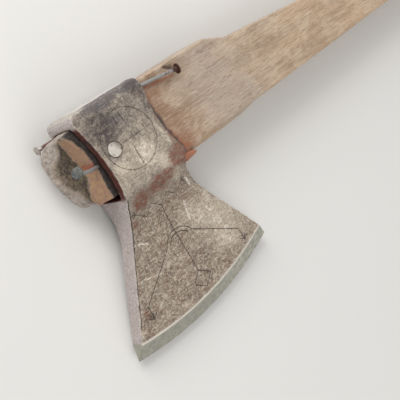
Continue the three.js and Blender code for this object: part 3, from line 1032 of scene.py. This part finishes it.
def wood_finish(settings):
    """Old pale haft wood: long grain with short dark pores, rust stain by the iron, a battered stub, painted
    highlight on the blade-side chamfer and painted shade in the seam by the iron, on the stub's side and in
    the eye.
    """
    f = Finish("old_haft_wood")
    along = (0.028, 1.0, 0.9)
    broad = f.grain(0.16, 5, 0.6, stretch=(0.1, 1.0, 0.9), twist=0.4)
    streak = f.grain(1.0, 6, 0.65, stretch=along, twist=0.2, shift=3.0)
    fibre = f.grain(2.4, 5, 0.6, stretch=(0.03, 1.0, 1.0), shift=6.0)
    pore = f.grain(1.5, 3, 0.55, stretch=(0.16, 1.0, 1.0), twist=0.5, shift=9.0)
    cloud = f.grain(0.07, 6, 0.6, shift=13.0)
    mottle = f.grain(0.5, 6, 0.65, shift=17.0)
    fleck = f.grain(1.25, 4, 0.6, stretch=(0.13, 1.0, 1.0), twist=0.5, shift=25.0)
    wood = f.mix(f.range(broad, 0.36, 0.64), settings.wood_dark, settings.wood_light)
    wood = f.over(wood, settings.wood_near_head, "near_head", 0.8)
    wood = f.over(wood, settings.wood_pale, f.range(cloud, 0.42, 0.62), 0.45)
    # Painted highlight on the blade-side chamfer, and the grip's own warm tone.
    wood = f.over(wood, settings.wood_warm_and_chamfer_highlight, "yellow", 0.7)
    wood = f.over(wood, settings.wood_grey, "grey", f.range(streak, 0.3, 0.62, 0.95, 0.55))
    wood = f.over(wood, settings.wood_streak, f.range(streak, 0.48, 0.66), 0.42)
    wood = f.over(wood, settings.wood_pale, f.range(fleck, 0.48, 0.34), 0.3)
    wood = f.over(wood, settings.wood_streak, f.range(fleck, 0.54, 0.68), 0.28)
    wood = f.over(wood, settings.wood_streak, f.range(fibre, 0.5, 0.66), 0.5)
    wood = f.over(wood, settings.wood_pale, f.range(fibre, 0.46, 0.3), 0.45)
    wood = f.over(wood, settings.wood_pore, f.range(pore, 0.58, 0.7), 0.55)
    stain = f.both("rust", f.range(mottle, 0.3, 0.6, 0.45, 1.0))
    wood = f.over(wood, settings.stain, f.range(stain, 0.05, 0.7, 0.0, 0.85))
    wood = f.over(wood, settings.stain_deep, f.range(stain, 0.45, 1.0), f.range(mottle, 0.4, 0.6), 0.8)
    # Painted shadow in the seam by the iron rim, and the dark mark beside the haft nail.
    wood = f.over(wood, settings.gap_shadow_and_gouge_dark, f.math("MAXIMUM", "gouge", "seam"), 0.85)
    wood = f.over(wood, settings.wood_pale, "standing", f.range(mottle, 0.35, 0.6, 0.1, 0.5))
    wood = f.over(wood, settings.wood_pore, "sunken", 0.35)
    end = f.mix(
        f.range(f.grain(1.6, 4, 0.6, shift=29.0), 0.42, 0.62), settings.wood_dark, settings.wood_streak
    )
    wood = f.over(wood, end, "end_grain", 0.8)
    cut = f.mix(f.range(f.grain(0.35, 5, 0.6, shift=33.0), 0.34, 0.66), settings.cut_red, settings.cut_tan)
    cut = f.over(cut, settings.cut_brown, f.range(mottle, 0.5, 0.66), 0.45)
    cut = f.over(cut, settings.stain_deep, f.range(stain, 0.1, 0.75, 0.0, 0.8))
    wood = f.over(wood, cut, "fresh")
    rings = f.grain(0.9, 5, 0.7, stretch=(0.5, 0.35, 1.6), twist=1.2, shift=37.0)
    rot = f.mix(f.range(rings, 0.42, 0.62), settings.rot_dark, settings.rot_mid)
    rot = f.over(rot, settings.rot_moss, f.range(f.grain(0.22, 5, 0.6, shift=41.0), 0.5, 0.64), 0.7)
    rot = f.over(rot, settings.rot_pale, f.range(mottle, 0.56, 0.68), 0.55)
    wood = f.over(wood, rot, "hollow")
    crust = f.mix(f.range(mottle, 0.36, 0.62), settings.crust_dark, settings.crust_light)
    crust = f.over(crust, settings.crust_light, f.range(f.grain(0.22, 4, 0.6, shift=45.0), 0.42, 0.62), 0.5)
    crust = f.over(crust, settings.rot_mid, f.range(rings, 0.56, 0.7), 0.6)
    wood = f.over(wood, crust, "rim")
    # The stub's side band next to the cheek: dirt and painted shade.
    band_dirt_and_shade = f.mix(f.range(mottle, 0.4, 0.62), settings.band_dark_shade_and_dirt, settings.band_light_shade_and_dirt)
    wood = f.over(wood, band_dirt_and_shade, "band")
    # The wood inside the eye: dirt and painted shade.
    grime_and_shade = f.mix(f.range(cloud, 0.4, 0.6), settings.band_dark_shade_and_dirt, settings.eye_brown_shade_and_dirt)
    wood = f.over(wood, grime_and_shade, "in_eye")
    rough = f.range(streak, 0.3, 0.7, 0.52, 0.72)
    rough = f.less(rough, f.both("handled", 0.1))
    relief = f.add(f.both(fibre, 0.8), f.both(streak, 0.6))
    relief = f.less(relief, f.both(f.range(pore, 0.6, 0.72), 0.35))
    on_stub = f.math("MAXIMUM", "hollow", f.both(f.add("rim", "fresh"), 0.45))
    relief = f.add(relief, f.both(on_stub, mottle, 2.0))
    return f.done(wood, rough, 0.0, relief, settings.fine_relief)


# ---------------------------------------------------------------- shim and nails
# Each nail's route from its point to its head, its head's radius and how far its head leans.
STUB_NAIL_ROUTE = [
    (8, 37.5, 6), (3.5, 36.2, 8.6), (-0.5, 35.4, 11.4), (-6, 34.6, 13.8), (-11.6, 33, 15.6),
    (-15.8, 30.6, 18),
]
FAR_SIDE_NAIL_ROUTE = [(9, 9.6, -12.1), (-3, 9.7, -13.3), (-15.6, 10, -16.6)]
HAFT_NAIL_ROUTE = [(45, 6.6, 12.3), (66, 8.8, 14.4), (87.2, 11.2, 16.7)]
NAILS = (
    ("stub_nail", STUB_NAIL_ROUTE, NAIL_HEAD_RADIUS, (0.0, 0.0, 0.3)),
    ("far_side_nail", FAR_SIDE_NAIL_ROUTE, 3.1, (0.0, 0.0, 0.35)),
    ("haft_nail", HAFT_NAIL_ROUTE, NAIL_HEAD_RADIUS, (0.0, 0.0, 0.0)),
)
# Each nail's finish, its shank, shank rust, head and head rust colours, and how much of it has rusted.
NAIL_LOOKS = {
    "stub_nail": ("zinc_nail", ("zinc", "nail_rust", "zinc_head", "zinc_worn"), 0.15),
    "far_side_nail": ("rusty_nail", ("nail_rust", "nail_rust_dark", "pale_head", "zinc_worn"), 0.6),
    "haft_nail": ("rust_headed_nail", ("zinc", "nail_rust", "nail_rust_dark", "nail_rust"), 0.35),
}
# The struck head's rounded side and face: height and share of its full radius.
NAIL_HEAD_SHAPE = (
    (0.0, 0.82), (0.12, 0.93), (0.35, 0.99), (0.65, 1.0), (0.9, 0.985), (1.12, 0.93), (1.24, 0.84),
    (1.26, 0.7), (1.27, 0.5), (1.29, 0.3), (1.3, 0.12),
)
NAIL_SIDES = 24
SHIM_OUTLINE = [
    (14, 57.6), (24, 56.5), (58.6, 56.5), (72, 64.6), (71, 66.1), (59.4, 67.5), (58.3, 60.7), (14, 60.6)
]
SHIM_HALF = 10.7


def shim_mesh(settings):
    """The wedge of split wood in the eye, with its ragged end out past the iron."""
    count = len(SHIM_OUTLINE)
    vertices = [(u, v, n) for n in (SHIM_HALF, -SHIM_HALF) for u, v in SHIM_OUTLINE]
    faces = [tuple(range(count)), tuple(range(2 * count - 1, count - 1, -1))]
    for k in range(count):
        m = (k + 1) % count
        faces.append((k, k + count, m + count, m))
    piece = new_piece("wooden_shim", vertices, faces)
    fine = piece.modifiers.new("fine", "REMESH")
    fine.mode = "VOXEL"
    fine.voxel_size = 0.35 * MM
    work_in(piece)
    mesh = piece.data
    points = relax(corners_of(mesh), edge_pairs(mesh), np.zeros(len(mesh.vertices)), 1)
    put_corners(mesh, points)
    normals = normals_of(mesh)
    split = field(points, 0.8, 3, stretch=(0.08, 1.0, 1.0))
    ragged = field(points, 0.35, 4, shift=6.0)
    shown = smooth(57.5, 60.0, points[:, 0])
    move = -np.abs(split) * settings.grain_relief / MM * 1.5 - shown * np.maximum(0, ragged) * 0.5
    put_corners(mesh, points + normals * move[:, None])
    points = corners_of(mesh)
    write_place(mesh, points)
    write_mask(mesh, "shown", shown)
    write_mask(mesh, "sunken", smooth(0.02, 0.2, -sharpness(mesh, points, normals_of(mesh))))
    return piece


def shim_finish(settings):
    """Split wood soaked with rust."""
    f = Finish("rusty_shim_wood")
    fibre = f.grain(1.3, 5, 0.6, stretch=(0.05, 1, 1))
    cloud = f.grain(0.28, 6, 0.65, shift=5.0)
    speck = f.grain(1.1, 4, 0.6, shift=8.0)
    wood = f.mix(f.range(cloud, 0.36, 0.62), settings.shim_brown, settings.shim_orange)
    wood = f.over(wood, settings.shim_dark, f.range(fibre, 0.5, 0.66), 0.6)
    wood = f.over(wood, settings.shim_pale, f.range(speck, 0.56, 0.7), 0.5)
    wood = f.over(wood, settings.shim_dark, "sunken", 0.5)
    rough = f.range(cloud, 0.3, 0.7, 0.66, 0.86)
    return f.done(wood, rough, 0.0, f.add(fibre, f.both(speck, 0.5)), settings.fine_relief)


def unit(vector):
    """The same direction, of length 1."""
    return vector / np.linalg.norm(vector)


def across_from(vector, forward):
    """The part of a direction that stands square on forward, of length 1."""
    return unit(vector - forward * (vector @ forward))


def nail_ring(place, forward, across, radius):
    """Points round one place on a nail."""
    angles = np.linspace(0, 2 * math.pi, NAIL_SIDES, endpoint=False)[:, None]
    return place + (np.cos(angles) * across + np.sin(angles) * np.cross(forward, across)) * radius


def nail_mesh(name, route, head_radius, tilt):
    """A bent nail: round shank, a little thicker under the head, and a struck round head."""
    line = curve_through(route, 10)
    ahead = np.gradient(line, axis=0)
    ahead /= np.linalg.norm(ahead, axis=1)[:, None]
    across = across_from(np.cross(ahead[0], (0.0, 1.0, 0.3)), ahead[0])
    layers = [nail_ring(line[0], ahead[0], across, 0.25 * NAIL_RADIUS)]
    total = len(line)
    for k in range(total - 1):
        across = across_from(across, ahead[k])
        flare = 1 + 0.35 * smooth(total - 4, total - 1, k)
        layers.append(nail_ring(line[k], ahead[k], across, NAIL_RADIUS * flare * 1.08))
    lean = unit(ahead[-1] + np.array(tilt))
    across = across_from(across_from(across, ahead[-1]), lean)
    base = line[-1] - lean * NAIL_HEAD_THICKNESS
    full = head_radius - 0.05
    in_head = [False] * len(layers)
    for rise, radius in [(0.0, 1.5)] + [(rise, share * full) for rise, share in NAIL_HEAD_SHAPE]:
        layers.append(nail_ring(base + lean * rise, lean, across, radius))
        in_head.append(True)
    vertices = np.vstack(layers)
    dents = field(vertices, 0.8, 2)
    middle = np.repeat([layer.mean(0) for layer in layers], NAIL_SIDES, axis=0)
    vertices = middle + (vertices - middle) * (1 + 0.05 * dents)[:, None]
    vertices = vertices + lean * (0.10 * dents * np.repeat(in_head, NAIL_SIDES))[:, None]
    last = (len(layers) - 1) * NAIL_SIDES
    faces = tube_faces(len(layers), NAIL_SIDES)
    faces.append(tuple(range(NAIL_SIDES))[::-1])
    faces.append(tuple(range(last, last + NAIL_SIDES)))
    piece = new_piece(name, vertices, faces)
    smoother = piece.modifiers.new("smooth", "SUBSURF")
    smoother.levels = 1
    smoother.render_levels = 1
    work_in(piece)
    mesh = piece.data
    points = corners_of(mesh)
    write_place(mesh, points)
    from_head = np.linalg.norm(points - (base + lean * 0.6), axis=1)
    write_mask(mesh, "head", smooth(head_radius + 1.2, head_radius + 0.2, from_head))
    return piece


def nail_finish(name, shank, shank_rust, head, head_rust, rusty):
    """Nail steel with patches of rust: rusty says how much of the shank has gone."""
    f = Finish(name)
    cloud = f.grain(0.55, 6, 0.65)
    speck = f.grain(2.2, 4, 0.6, shift=4.0)
    turned = f.range(cloud, 0.62 - 0.3 * rusty, 0.78 - 0.3 * rusty)
    body = f.over(shank, shank_rust, turned)
    face = f.over(head, head_rust, f.range(cloud, 0.4, 0.68))
    steel = f.over(body, face, "head")
    steel = f.over(steel, head_rust, f.range(speck, 0.56, 0.72), 0.35)
    rough = f.range(cloud, 0.3, 0.7, 0.34, 0.62)
    metal = f.range(turned, 0.0, 1.0, 0.35, 0.05)
    return f.done(steel, rough, metal, f.add(cloud, f.both(speck, 0.4)), NAIL_RELIEF)


# ---------------------------------------------------------------- what a user may change
def amount(label, text, default, **limits):
    """A number with its own limits, unit or subtype."""
    return bpy.props.FloatProperty(name=label, description=text, default=default, **limits)


def length(label, text, default, low, high):
    """A size in metres."""
    return amount(label, text, default, min=low, max=high, unit="LENGTH", precision=5)


def shade(label, text, default):
    """A colour, given as red, green and blue from 0 to 255 as a screen shows them."""
    shares = [c / 255 for c in default]
    linear = [c / 12.92 if c <= 0.04045 else ((c + 0.055) / 1.055) ** 2.4 for c in shares]
    return bpy.props.FloatVectorProperty(
        name=label, description=text, default=linear, size=3, min=0, max=1, subtype="COLOR"
    )


class OldAxeIronSettings(bpy.types.PropertyGroup):
    """Sizes and colours of the iron head."""

    mesh_fineness: amount(
        "Mesh Fineness", "Share of the mesh grid the head fills", 0.9, min=0.4, max=0.95, subtype="FACTOR"
    )
    pit_depth: length("Pit Depth", "How deep rust has eaten into the faces", 0.00030, 0.0, 0.001)
    hammer_marks: length(
        "Hammer Marks", "Height of the broad unevenness left by forging", 0.00030, 0.0, 0.001
    )
    groove_half: length("Groove Half Width", "Half the width of an incised line", 0.00036, 0.0002, 0.001)
    groove_depth: length("Groove Depth", "Depth of an incised line", 0.00042, 0.0001, 0.001)
    fine_relief: length(
        "Fine Relief", "Height of the finest unevenness in the iron's skin", 0.00028, 0.0, 0.001
    )
    metal_look: amount(
        "Metal Look", "How metallic the sound skin looks", 0.25, min=0, max=1, subtype="FACTOR"
    )
    skin_dark: shade("Skin Dark", "Darker areas of the iron's skin", (130, 119, 110))
    skin_mid: shade("Skin Middle", "Most of the iron's skin", (164, 152, 137))
    skin_light: shade("Skin Light", "Lighter areas of the iron's skin", (184, 171, 154))
    skin_brown: shade("Skin Brown", "Brown clouds on the blade", (120, 94, 74))
    skin_dusk: shade("Skin Dusk", "Dark clouds near the poll", (80, 70, 69))
    rubbed: shade("Rubbed", "Specks rubbed pale", (208, 194, 174))
    rubbed_bright: shade("Rubbed Bright", "Places rubbed almost white", (232, 223, 210))
    rubbed_disc: shade("Rubbed Disc", "The pale small disc on the drum", (216, 208, 196))
    pit_dark: shade("Pit Dark", "Dirt in pits and creases", (84, 72, 63))
    # Painted shade: this colour darkens the rounded poll corner.
    poll_corner_shade_grey: shade("Blue Grey", "Bluish scale along the poll", (98, 93, 97))
    rust_dark: shade("Rust Dark", "Brown rust", (102, 71, 57))
    rust: shade("Rust", "Fresh orange rust", (142, 74, 48))
    # Painted highlight: these two colours lighten the toe side.
    toe_dark: shade("Toe Side Dark", "Darker parts of the toe side", (166, 154, 151))
    toe_light: shade("Toe Side Light", "Lighter parts of the toe side", (206, 195, 193))
    # Painted highlight: this colour lightens the poll face.
    poll_light: shade("Poll Light", "Pale rubbed metal of the poll face", (208, 204, 199))
    # Partly painted highlight on outer edges, partly rubbed wear.
    edge_wear_and_highlight: shade("Edge Bright", "Metal rubbed bright on edges", (214, 208, 198))
    # Painted shade with dirt inside the eye and on the end of its wall.
    eye_dark_shade_and_dirt: shade("Eye Dark", "Grime inside the eye", (34, 26, 24))
    eye_red: shade("Eye Red", "Red rust inside the eye", (92, 42, 33))
    bevel_light: shade("Bevel Light", "Lighter parts of the ground bevel", (190, 186, 172))
    bevel_dark: shade("Bevel Dark", "Darker parts of the ground bevel", (146, 144, 131))
    bevel_spot: shade("Bevel Spot", "Stains on the bevel", (150, 143, 128))
    groove_dark: shade("Groove Dark", "Dirt in the incised lines", (58, 49, 44))


class OldAxeWoodSettings(bpy.types.PropertyGroup):
    """Sizes and colours of the haft and the shim."""

    grain_relief: length("Grain Relief", "Height of the lifted grain", 0.00022, 0.0, 0.001)
    fine_relief: length("Fine Relief", "Height of the finest fibres", 0.00022, 0.0, 0.001)
    wood_dark: shade("Wood Dark", "Darker bands of the haft", (158, 136, 114))
    wood_light: shade("Wood Light", "Lighter bands of the haft", (196, 170, 142))
    wood_pale: shade("Wood Pale", "Pale rubbed wood", (214, 196, 175))
    # Warm grip tone, also laid on the blade-side chamfer as painted highlight.
    wood_warm_and_chamfer_highlight: shade("Wood Yellow", "Warm wood of the grip and the chamfers", (208, 174, 138))
    wood_grey: shade("Wood Grey", "Grey handled wood at the shoulder", (174, 160, 147))
    wood_streak: shade("Wood Streak", "Long darker streaks of grain", (144, 115, 90))
    wood_near_head: shade("Wood Near Head", "Browner wood beside the iron", (138, 104, 78))
    wood_pore: shade("Wood Pore", "Short open pores", (98, 76, 60))
    stain: shade("Rust Stain", "Rust soaked into the wood", (146, 100, 76))
    stain_deep: shade("Rust Stain Deep", "Rust where it is strongest", (150, 82, 56))
    # Painted shadow in the seam by the iron rim, and the mark beside the haft nail.
    gap_shadow_and_gouge_dark: shade("Gouge Dark", "Bruise beside the haft nail", (66, 60, 60))
    cut_tan: shade("Cut Tan", "Fresh cut wood of the stub", (164, 131, 98))
    cut_red: shade("Cut Red", "Pinker fresh cut wood", (150, 116, 98))
    cut_brown: shade("Cut Brown", "Brown marks on the cut wood", (124, 94, 76))
    rot_dark: shade("Rot Dark", "Darkest wood of the hollow", (44, 35, 29))
    rot_mid: shade("Rot Middle", "Brown wood of the hollow", (106, 88, 70))
    rot_moss: shade("Rot Moss", "Greenish wood of the hollow", (96, 88, 60))
    rot_pale: shade("Rot Pale", "Pale fibres in the hollow", (138, 126, 110))
    crust_dark: shade("Crust Dark", "Darker weathered rim", (126, 113, 103))
    crust_light: shade("Crust Light", "Lighter weathered rim", (168, 157, 147))
    # Dirt and painted shade on the stub's side band and on the wood inside the eye.
    band_dark_shade_and_dirt: shade("Band Dark", "Grime on the side of the stub", (34, 29, 27))
    band_light_shade_and_dirt: shade("Band Light", "Lighter grime on the side of the stub", (68, 60, 55))
    eye_brown_shade_and_dirt: shade("Eye Brown", "Brown grime on the wood inside the eye", (52, 32, 27))
    shim_orange: shade("Shim Orange", "Rust-soaked shim", (180, 120, 92))
    shim_brown: shade("Shim Brown", "Browner shim", (156, 106, 82))
    shim_dark: shade("Shim Dark", "Splits in the shim", (92, 62, 50))
    shim_pale: shade("Shim Pale", "Pale fibres of the shim", (196, 142, 108))


class OldAxeNailSettings(bpy.types.PropertyGroup):
    """Colours of the nails."""

    zinc: shade("Zinc", "Grey coating on the sound nails", (150, 148, 145))
    zinc_head: shade("Zinc Head", "Blue-grey head of the stub nail", (84, 88, 87))
    zinc_worn: shade("Zinc Worn", "Worn spots on the coating", (120, 118, 110))
    nail_rust: shade("Nail Rust", "Rust on the nails", (96, 56, 42))
    nail_rust_dark: shade("Nail Rust Dark", "Dark rust on the haft nail's head", (62, 38, 32))
    pale_head: shade("Pale Head", "Pale head of the nail on the far side", (190, 179, 172))


class OldAxeStageSettings(bpy.types.PropertyGroup):
    """The floor, the lights and the camera."""

    floor_shade: shade("Floor", "Colour of the plain floor", (222, 220, 216))
    key_light: amount("Key Light", "Strength of the main soft light", 8.0, min=0, unit="POWER")
    fill_light: amount("Fill Light", "Strength of the fill light", 6.0, min=0, unit="POWER")
    poll_light: amount("Poll Light", "Strength of the low light on the poll", 5.0, min=0, unit="POWER")
    air: amount("Room Light", "Strength of the even light from all round", 0.5, min=0)
    lens: amount("Lens", "Focal length of the camera", 63.0, min=10, max=300, unit="CAMERA")


# ---------------------------------------------------------------- operators
class AXE_OT_iron_head(bpy.types.Operator):
    """Makes the forged head, its wear and its incised lines"""

    bl_idname = "old_axe.iron_head"
    bl_label = "Make Iron Head"

    def execute(self, context):
        settings = context.scene.old_axe_iron
        piece = iron_blank(settings)
        weather_iron(piece.data, settings)
        half = settings.groove_half / MM
        depth = settings.groove_depth / MM
        plan = []
        for line, firm in cheek_strokes() + blade_strokes():
            plan.append((line, half * (0.55 + 0.45 * firm), depth * (0.4 + 0.6 * firm), firm))
        plan += toe_crack()
        tree = BVHTree.FromPolygons(
            [v.co for v in piece.data.vertices], [tuple(p.vertices) for p in piece.data.polygons]
        )
        cutters, lines = [], []
        for line, wide, deep, firm in plan:
            lines.append((resample(line, 1.0), wide, firm))
            for part in straight_parts(line):
                cutter = groove_cutter(part, wide, deep, tree)
                if cutter is None:
                    raise RuntimeError("an incised line runs off the head")
                cutters.append(cutter)
        carve(piece, cutters)
        mask_iron(piece.data, lines)
        settle(piece, iron_finish(settings), ["axe_head"], IRON_SHARP)
        return {"FINISHED"}


class AXE_OT_haft(bpy.types.Operator):
    """Makes the wooden haft with its battered stub"""

    bl_idname = "old_axe.haft"
    bl_label = "Make Haft"

    def execute(self, context):
        settings = context.scene.old_axe_wood
        piece = haft_mesh()
        weather_wood(piece.data, settings)
        mask_wood(piece.data)
        settle(piece, wood_finish(settings), ["haft"], HAFT_SHARP)
        return {"FINISHED"}


class AXE_OT_shim(bpy.types.Operator):
    """Makes the split wooden shim in the eye"""

    bl_idname = "old_axe.shim"
    bl_label = "Make Shim"

    def execute(self, context):
        settings = context.scene.old_axe_wood
        piece = shim_mesh(settings)
        settle(piece, shim_finish(settings), ["eye_shim"], SHIM_SHARP)
        return {"FINISHED"}


class AXE_OT_nails(bpy.types.Operator):
    """Makes the three bent nails"""

    bl_idname = "old_axe.nails"
    bl_label = "Make Nails"

    def execute(self, context):
        settings = context.scene.old_axe_nails
        for node, route, head_radius, tilt in NAILS:
            piece = nail_mesh("bent_" + node, route, head_radius, tilt)
            name, colours, rusty = NAIL_LOOKS[node]
            finish = nail_finish(name, *(getattr(settings, colour) for colour in colours), rusty)
            settle(piece, finish, [node], NAIL_SHARP)
        return {"FINISHED"}


# The camera's place in millimetres in the axe's x, y, z, and where it looks from, in degrees.
CAMERA_PLACE = (-188.65, 21.83, 399.55)
CAMERA_AZIMUTH = 154.52
CAMERA_ELEVATION = 55.36
CAMERA_ROLL = 81.14
LIT_PLACE = (0.03, -0.06, 0.0)
# Each light's direction as shares of the camera's right, up and back, its distance and its size in metres.
LIGHTS = {
    "key_light": ((-0.42, 0.75, 0.75), 1.15, 0.7),
    "fill_light": ((0.7, -0.5, 0.6), 1.4, 1.0),
    "poll_light": ((0.0, 1.0, 0.8), 1.5, 0.9),
}
FLOOR_HALF = 15.0


class AXE_OT_stage(bpy.types.Operator):
    """Makes the plain floor, the soft lights and the camera"""

    bl_idname = "old_axe.stage"
    bl_label = "Make Stage"

    def execute(self, context):
        settings = context.scene.old_axe_stage
        scene = context.scene
        self.floor(scene, settings)
        world = bpy.data.worlds.new("room")
        world.use_nodes = True
        air = world.node_tree.nodes["Background"]
        air.inputs["Color"].default_value = (1.0, 1.0, 1.0, 1)
        air.inputs["Strength"].default_value = settings.air
        scene.world = world
        scene.view_settings.view_transform = "Standard"
        camera = self.camera(scene, settings)
        axes = camera.matrix_world.to_3x3()
        for name, (direction, distance, size) in LIGHTS.items():
            self.lamp(scene, name, axes @ Vector(direction), distance, size, getattr(settings, name))
        return {"FINISHED"}

    def floor(self, scene, settings):
        """A wide plain floor."""
        mesh = bpy.data.meshes.new("floor")
        corners = [(x * FLOOR_HALF, y * FLOOR_HALF, 0) for x, y in ((-1, -1), (1, -1), (1, 1), (-1, 1))]
        mesh.from_pydata(corners, [], [(0, 1, 2, 3)])
        floor = bpy.data.objects.new("floor", mesh)
        scene.collection.objects.link(floor)
        paint = bpy.data.materials.new("plain_floor")
        paint.use_nodes = True
        shader = paint.node_tree.nodes["Principled BSDF"]
        shader.inputs["Base Color"].default_value = (*settings.floor_shade, 1)
        shader.inputs["Roughness"].default_value = 0.85
        mesh.materials.append(paint)

    def camera(self, scene, settings):
        """The camera, which looks down on the head."""
        data = bpy.data.cameras.new("camera")
        data.lens = settings.lens
        data.sensor_width = 36.0
        data.clip_start = 0.01
        camera = bpy.data.objects.new("camera", data)
        turn = Matrix.Rotation(math.radians(CAMERA_AZIMUTH + 90), 4, "Z")
        tip = Matrix.Rotation(math.radians(90 - CAMERA_ELEVATION), 4, "X")
        roll = Matrix.Rotation(math.radians(CAMERA_ROLL), 4, "Z")
        camera.matrix_world = AXE @ Matrix.Translation(Vector(CAMERA_PLACE) * MM) @ turn @ tip @ roll
        scene.collection.objects.link(camera)
        scene.camera = camera
        return camera

    def lamp(self, scene, name, direction, distance, size, power):
        """One soft square light that faces the axe."""
        data = bpy.data.lights.new(name, "AREA")
        data.shape = "SQUARE"
        data.size = size
        data.energy = power
        lamp = bpy.data.objects.new(name, data)
        lamp.location = AXE @ Vector(LIT_PLACE) + direction.normalized() * distance
        lamp.rotation_mode = "QUATERNION"
        lamp.rotation_quaternion = direction.to_track_quat("Z", "Y")
        scene.collection.objects.link(lamp)


class AXE_PT_panel(bpy.types.Panel):
    """Lists the pieces and what may be changed"""

    bl_label = "Old Hafted Axe"
    bl_idname = "AXE_PT_panel"
    bl_space_type = "VIEW_3D"
    bl_region_type = "UI"
    bl_category = "Old Axe"

    def draw(self, context):
        layout = self.layout
        for operator in OPERATORS:
            layout.operator(operator.bl_idname)
        for name, group in SETTINGS.items():
            box = layout.box()
            box.label(text=group.__doc__)
            settings = getattr(context.scene, name)
            for key in group.__annotations__:
                box.prop(settings, key)


SETTINGS = {
    "old_axe_iron": OldAxeIronSettings,
    "old_axe_wood": OldAxeWoodSettings,
    "old_axe_nails": OldAxeNailSettings,
    "old_axe_stage": OldAxeStageSettings,
}
OPERATORS = (AXE_OT_iron_head, AXE_OT_haft, AXE_OT_shim, AXE_OT_nails, AXE_OT_stage)


def register():
    for name, group in SETTINGS.items():
        bpy.utils.register_class(group)
        setattr(bpy.types.Scene, name, bpy.props.PointerProperty(type=group))
    for made in (*OPERATORS, AXE_PT_panel):
        bpy.utils.register_class(made)


def unregister():
    for made in (AXE_PT_panel, *reversed(OPERATORS)):
        bpy.utils.unregister_class(made)
    for name, group in SETTINGS.items():
        delattr(bpy.types.Scene, name)
        bpy.utils.unregister_class(group)


def main():
    """Makes the whole axe and its stage."""
    register()
    bpy.ops.old_axe.iron_head()
    bpy.ops.old_axe.haft()
    bpy.ops.old_axe.shim()
    bpy.ops.old_axe.nails()
    bpy.ops.old_axe.stage()


if __name__ == "__main__":
    main()
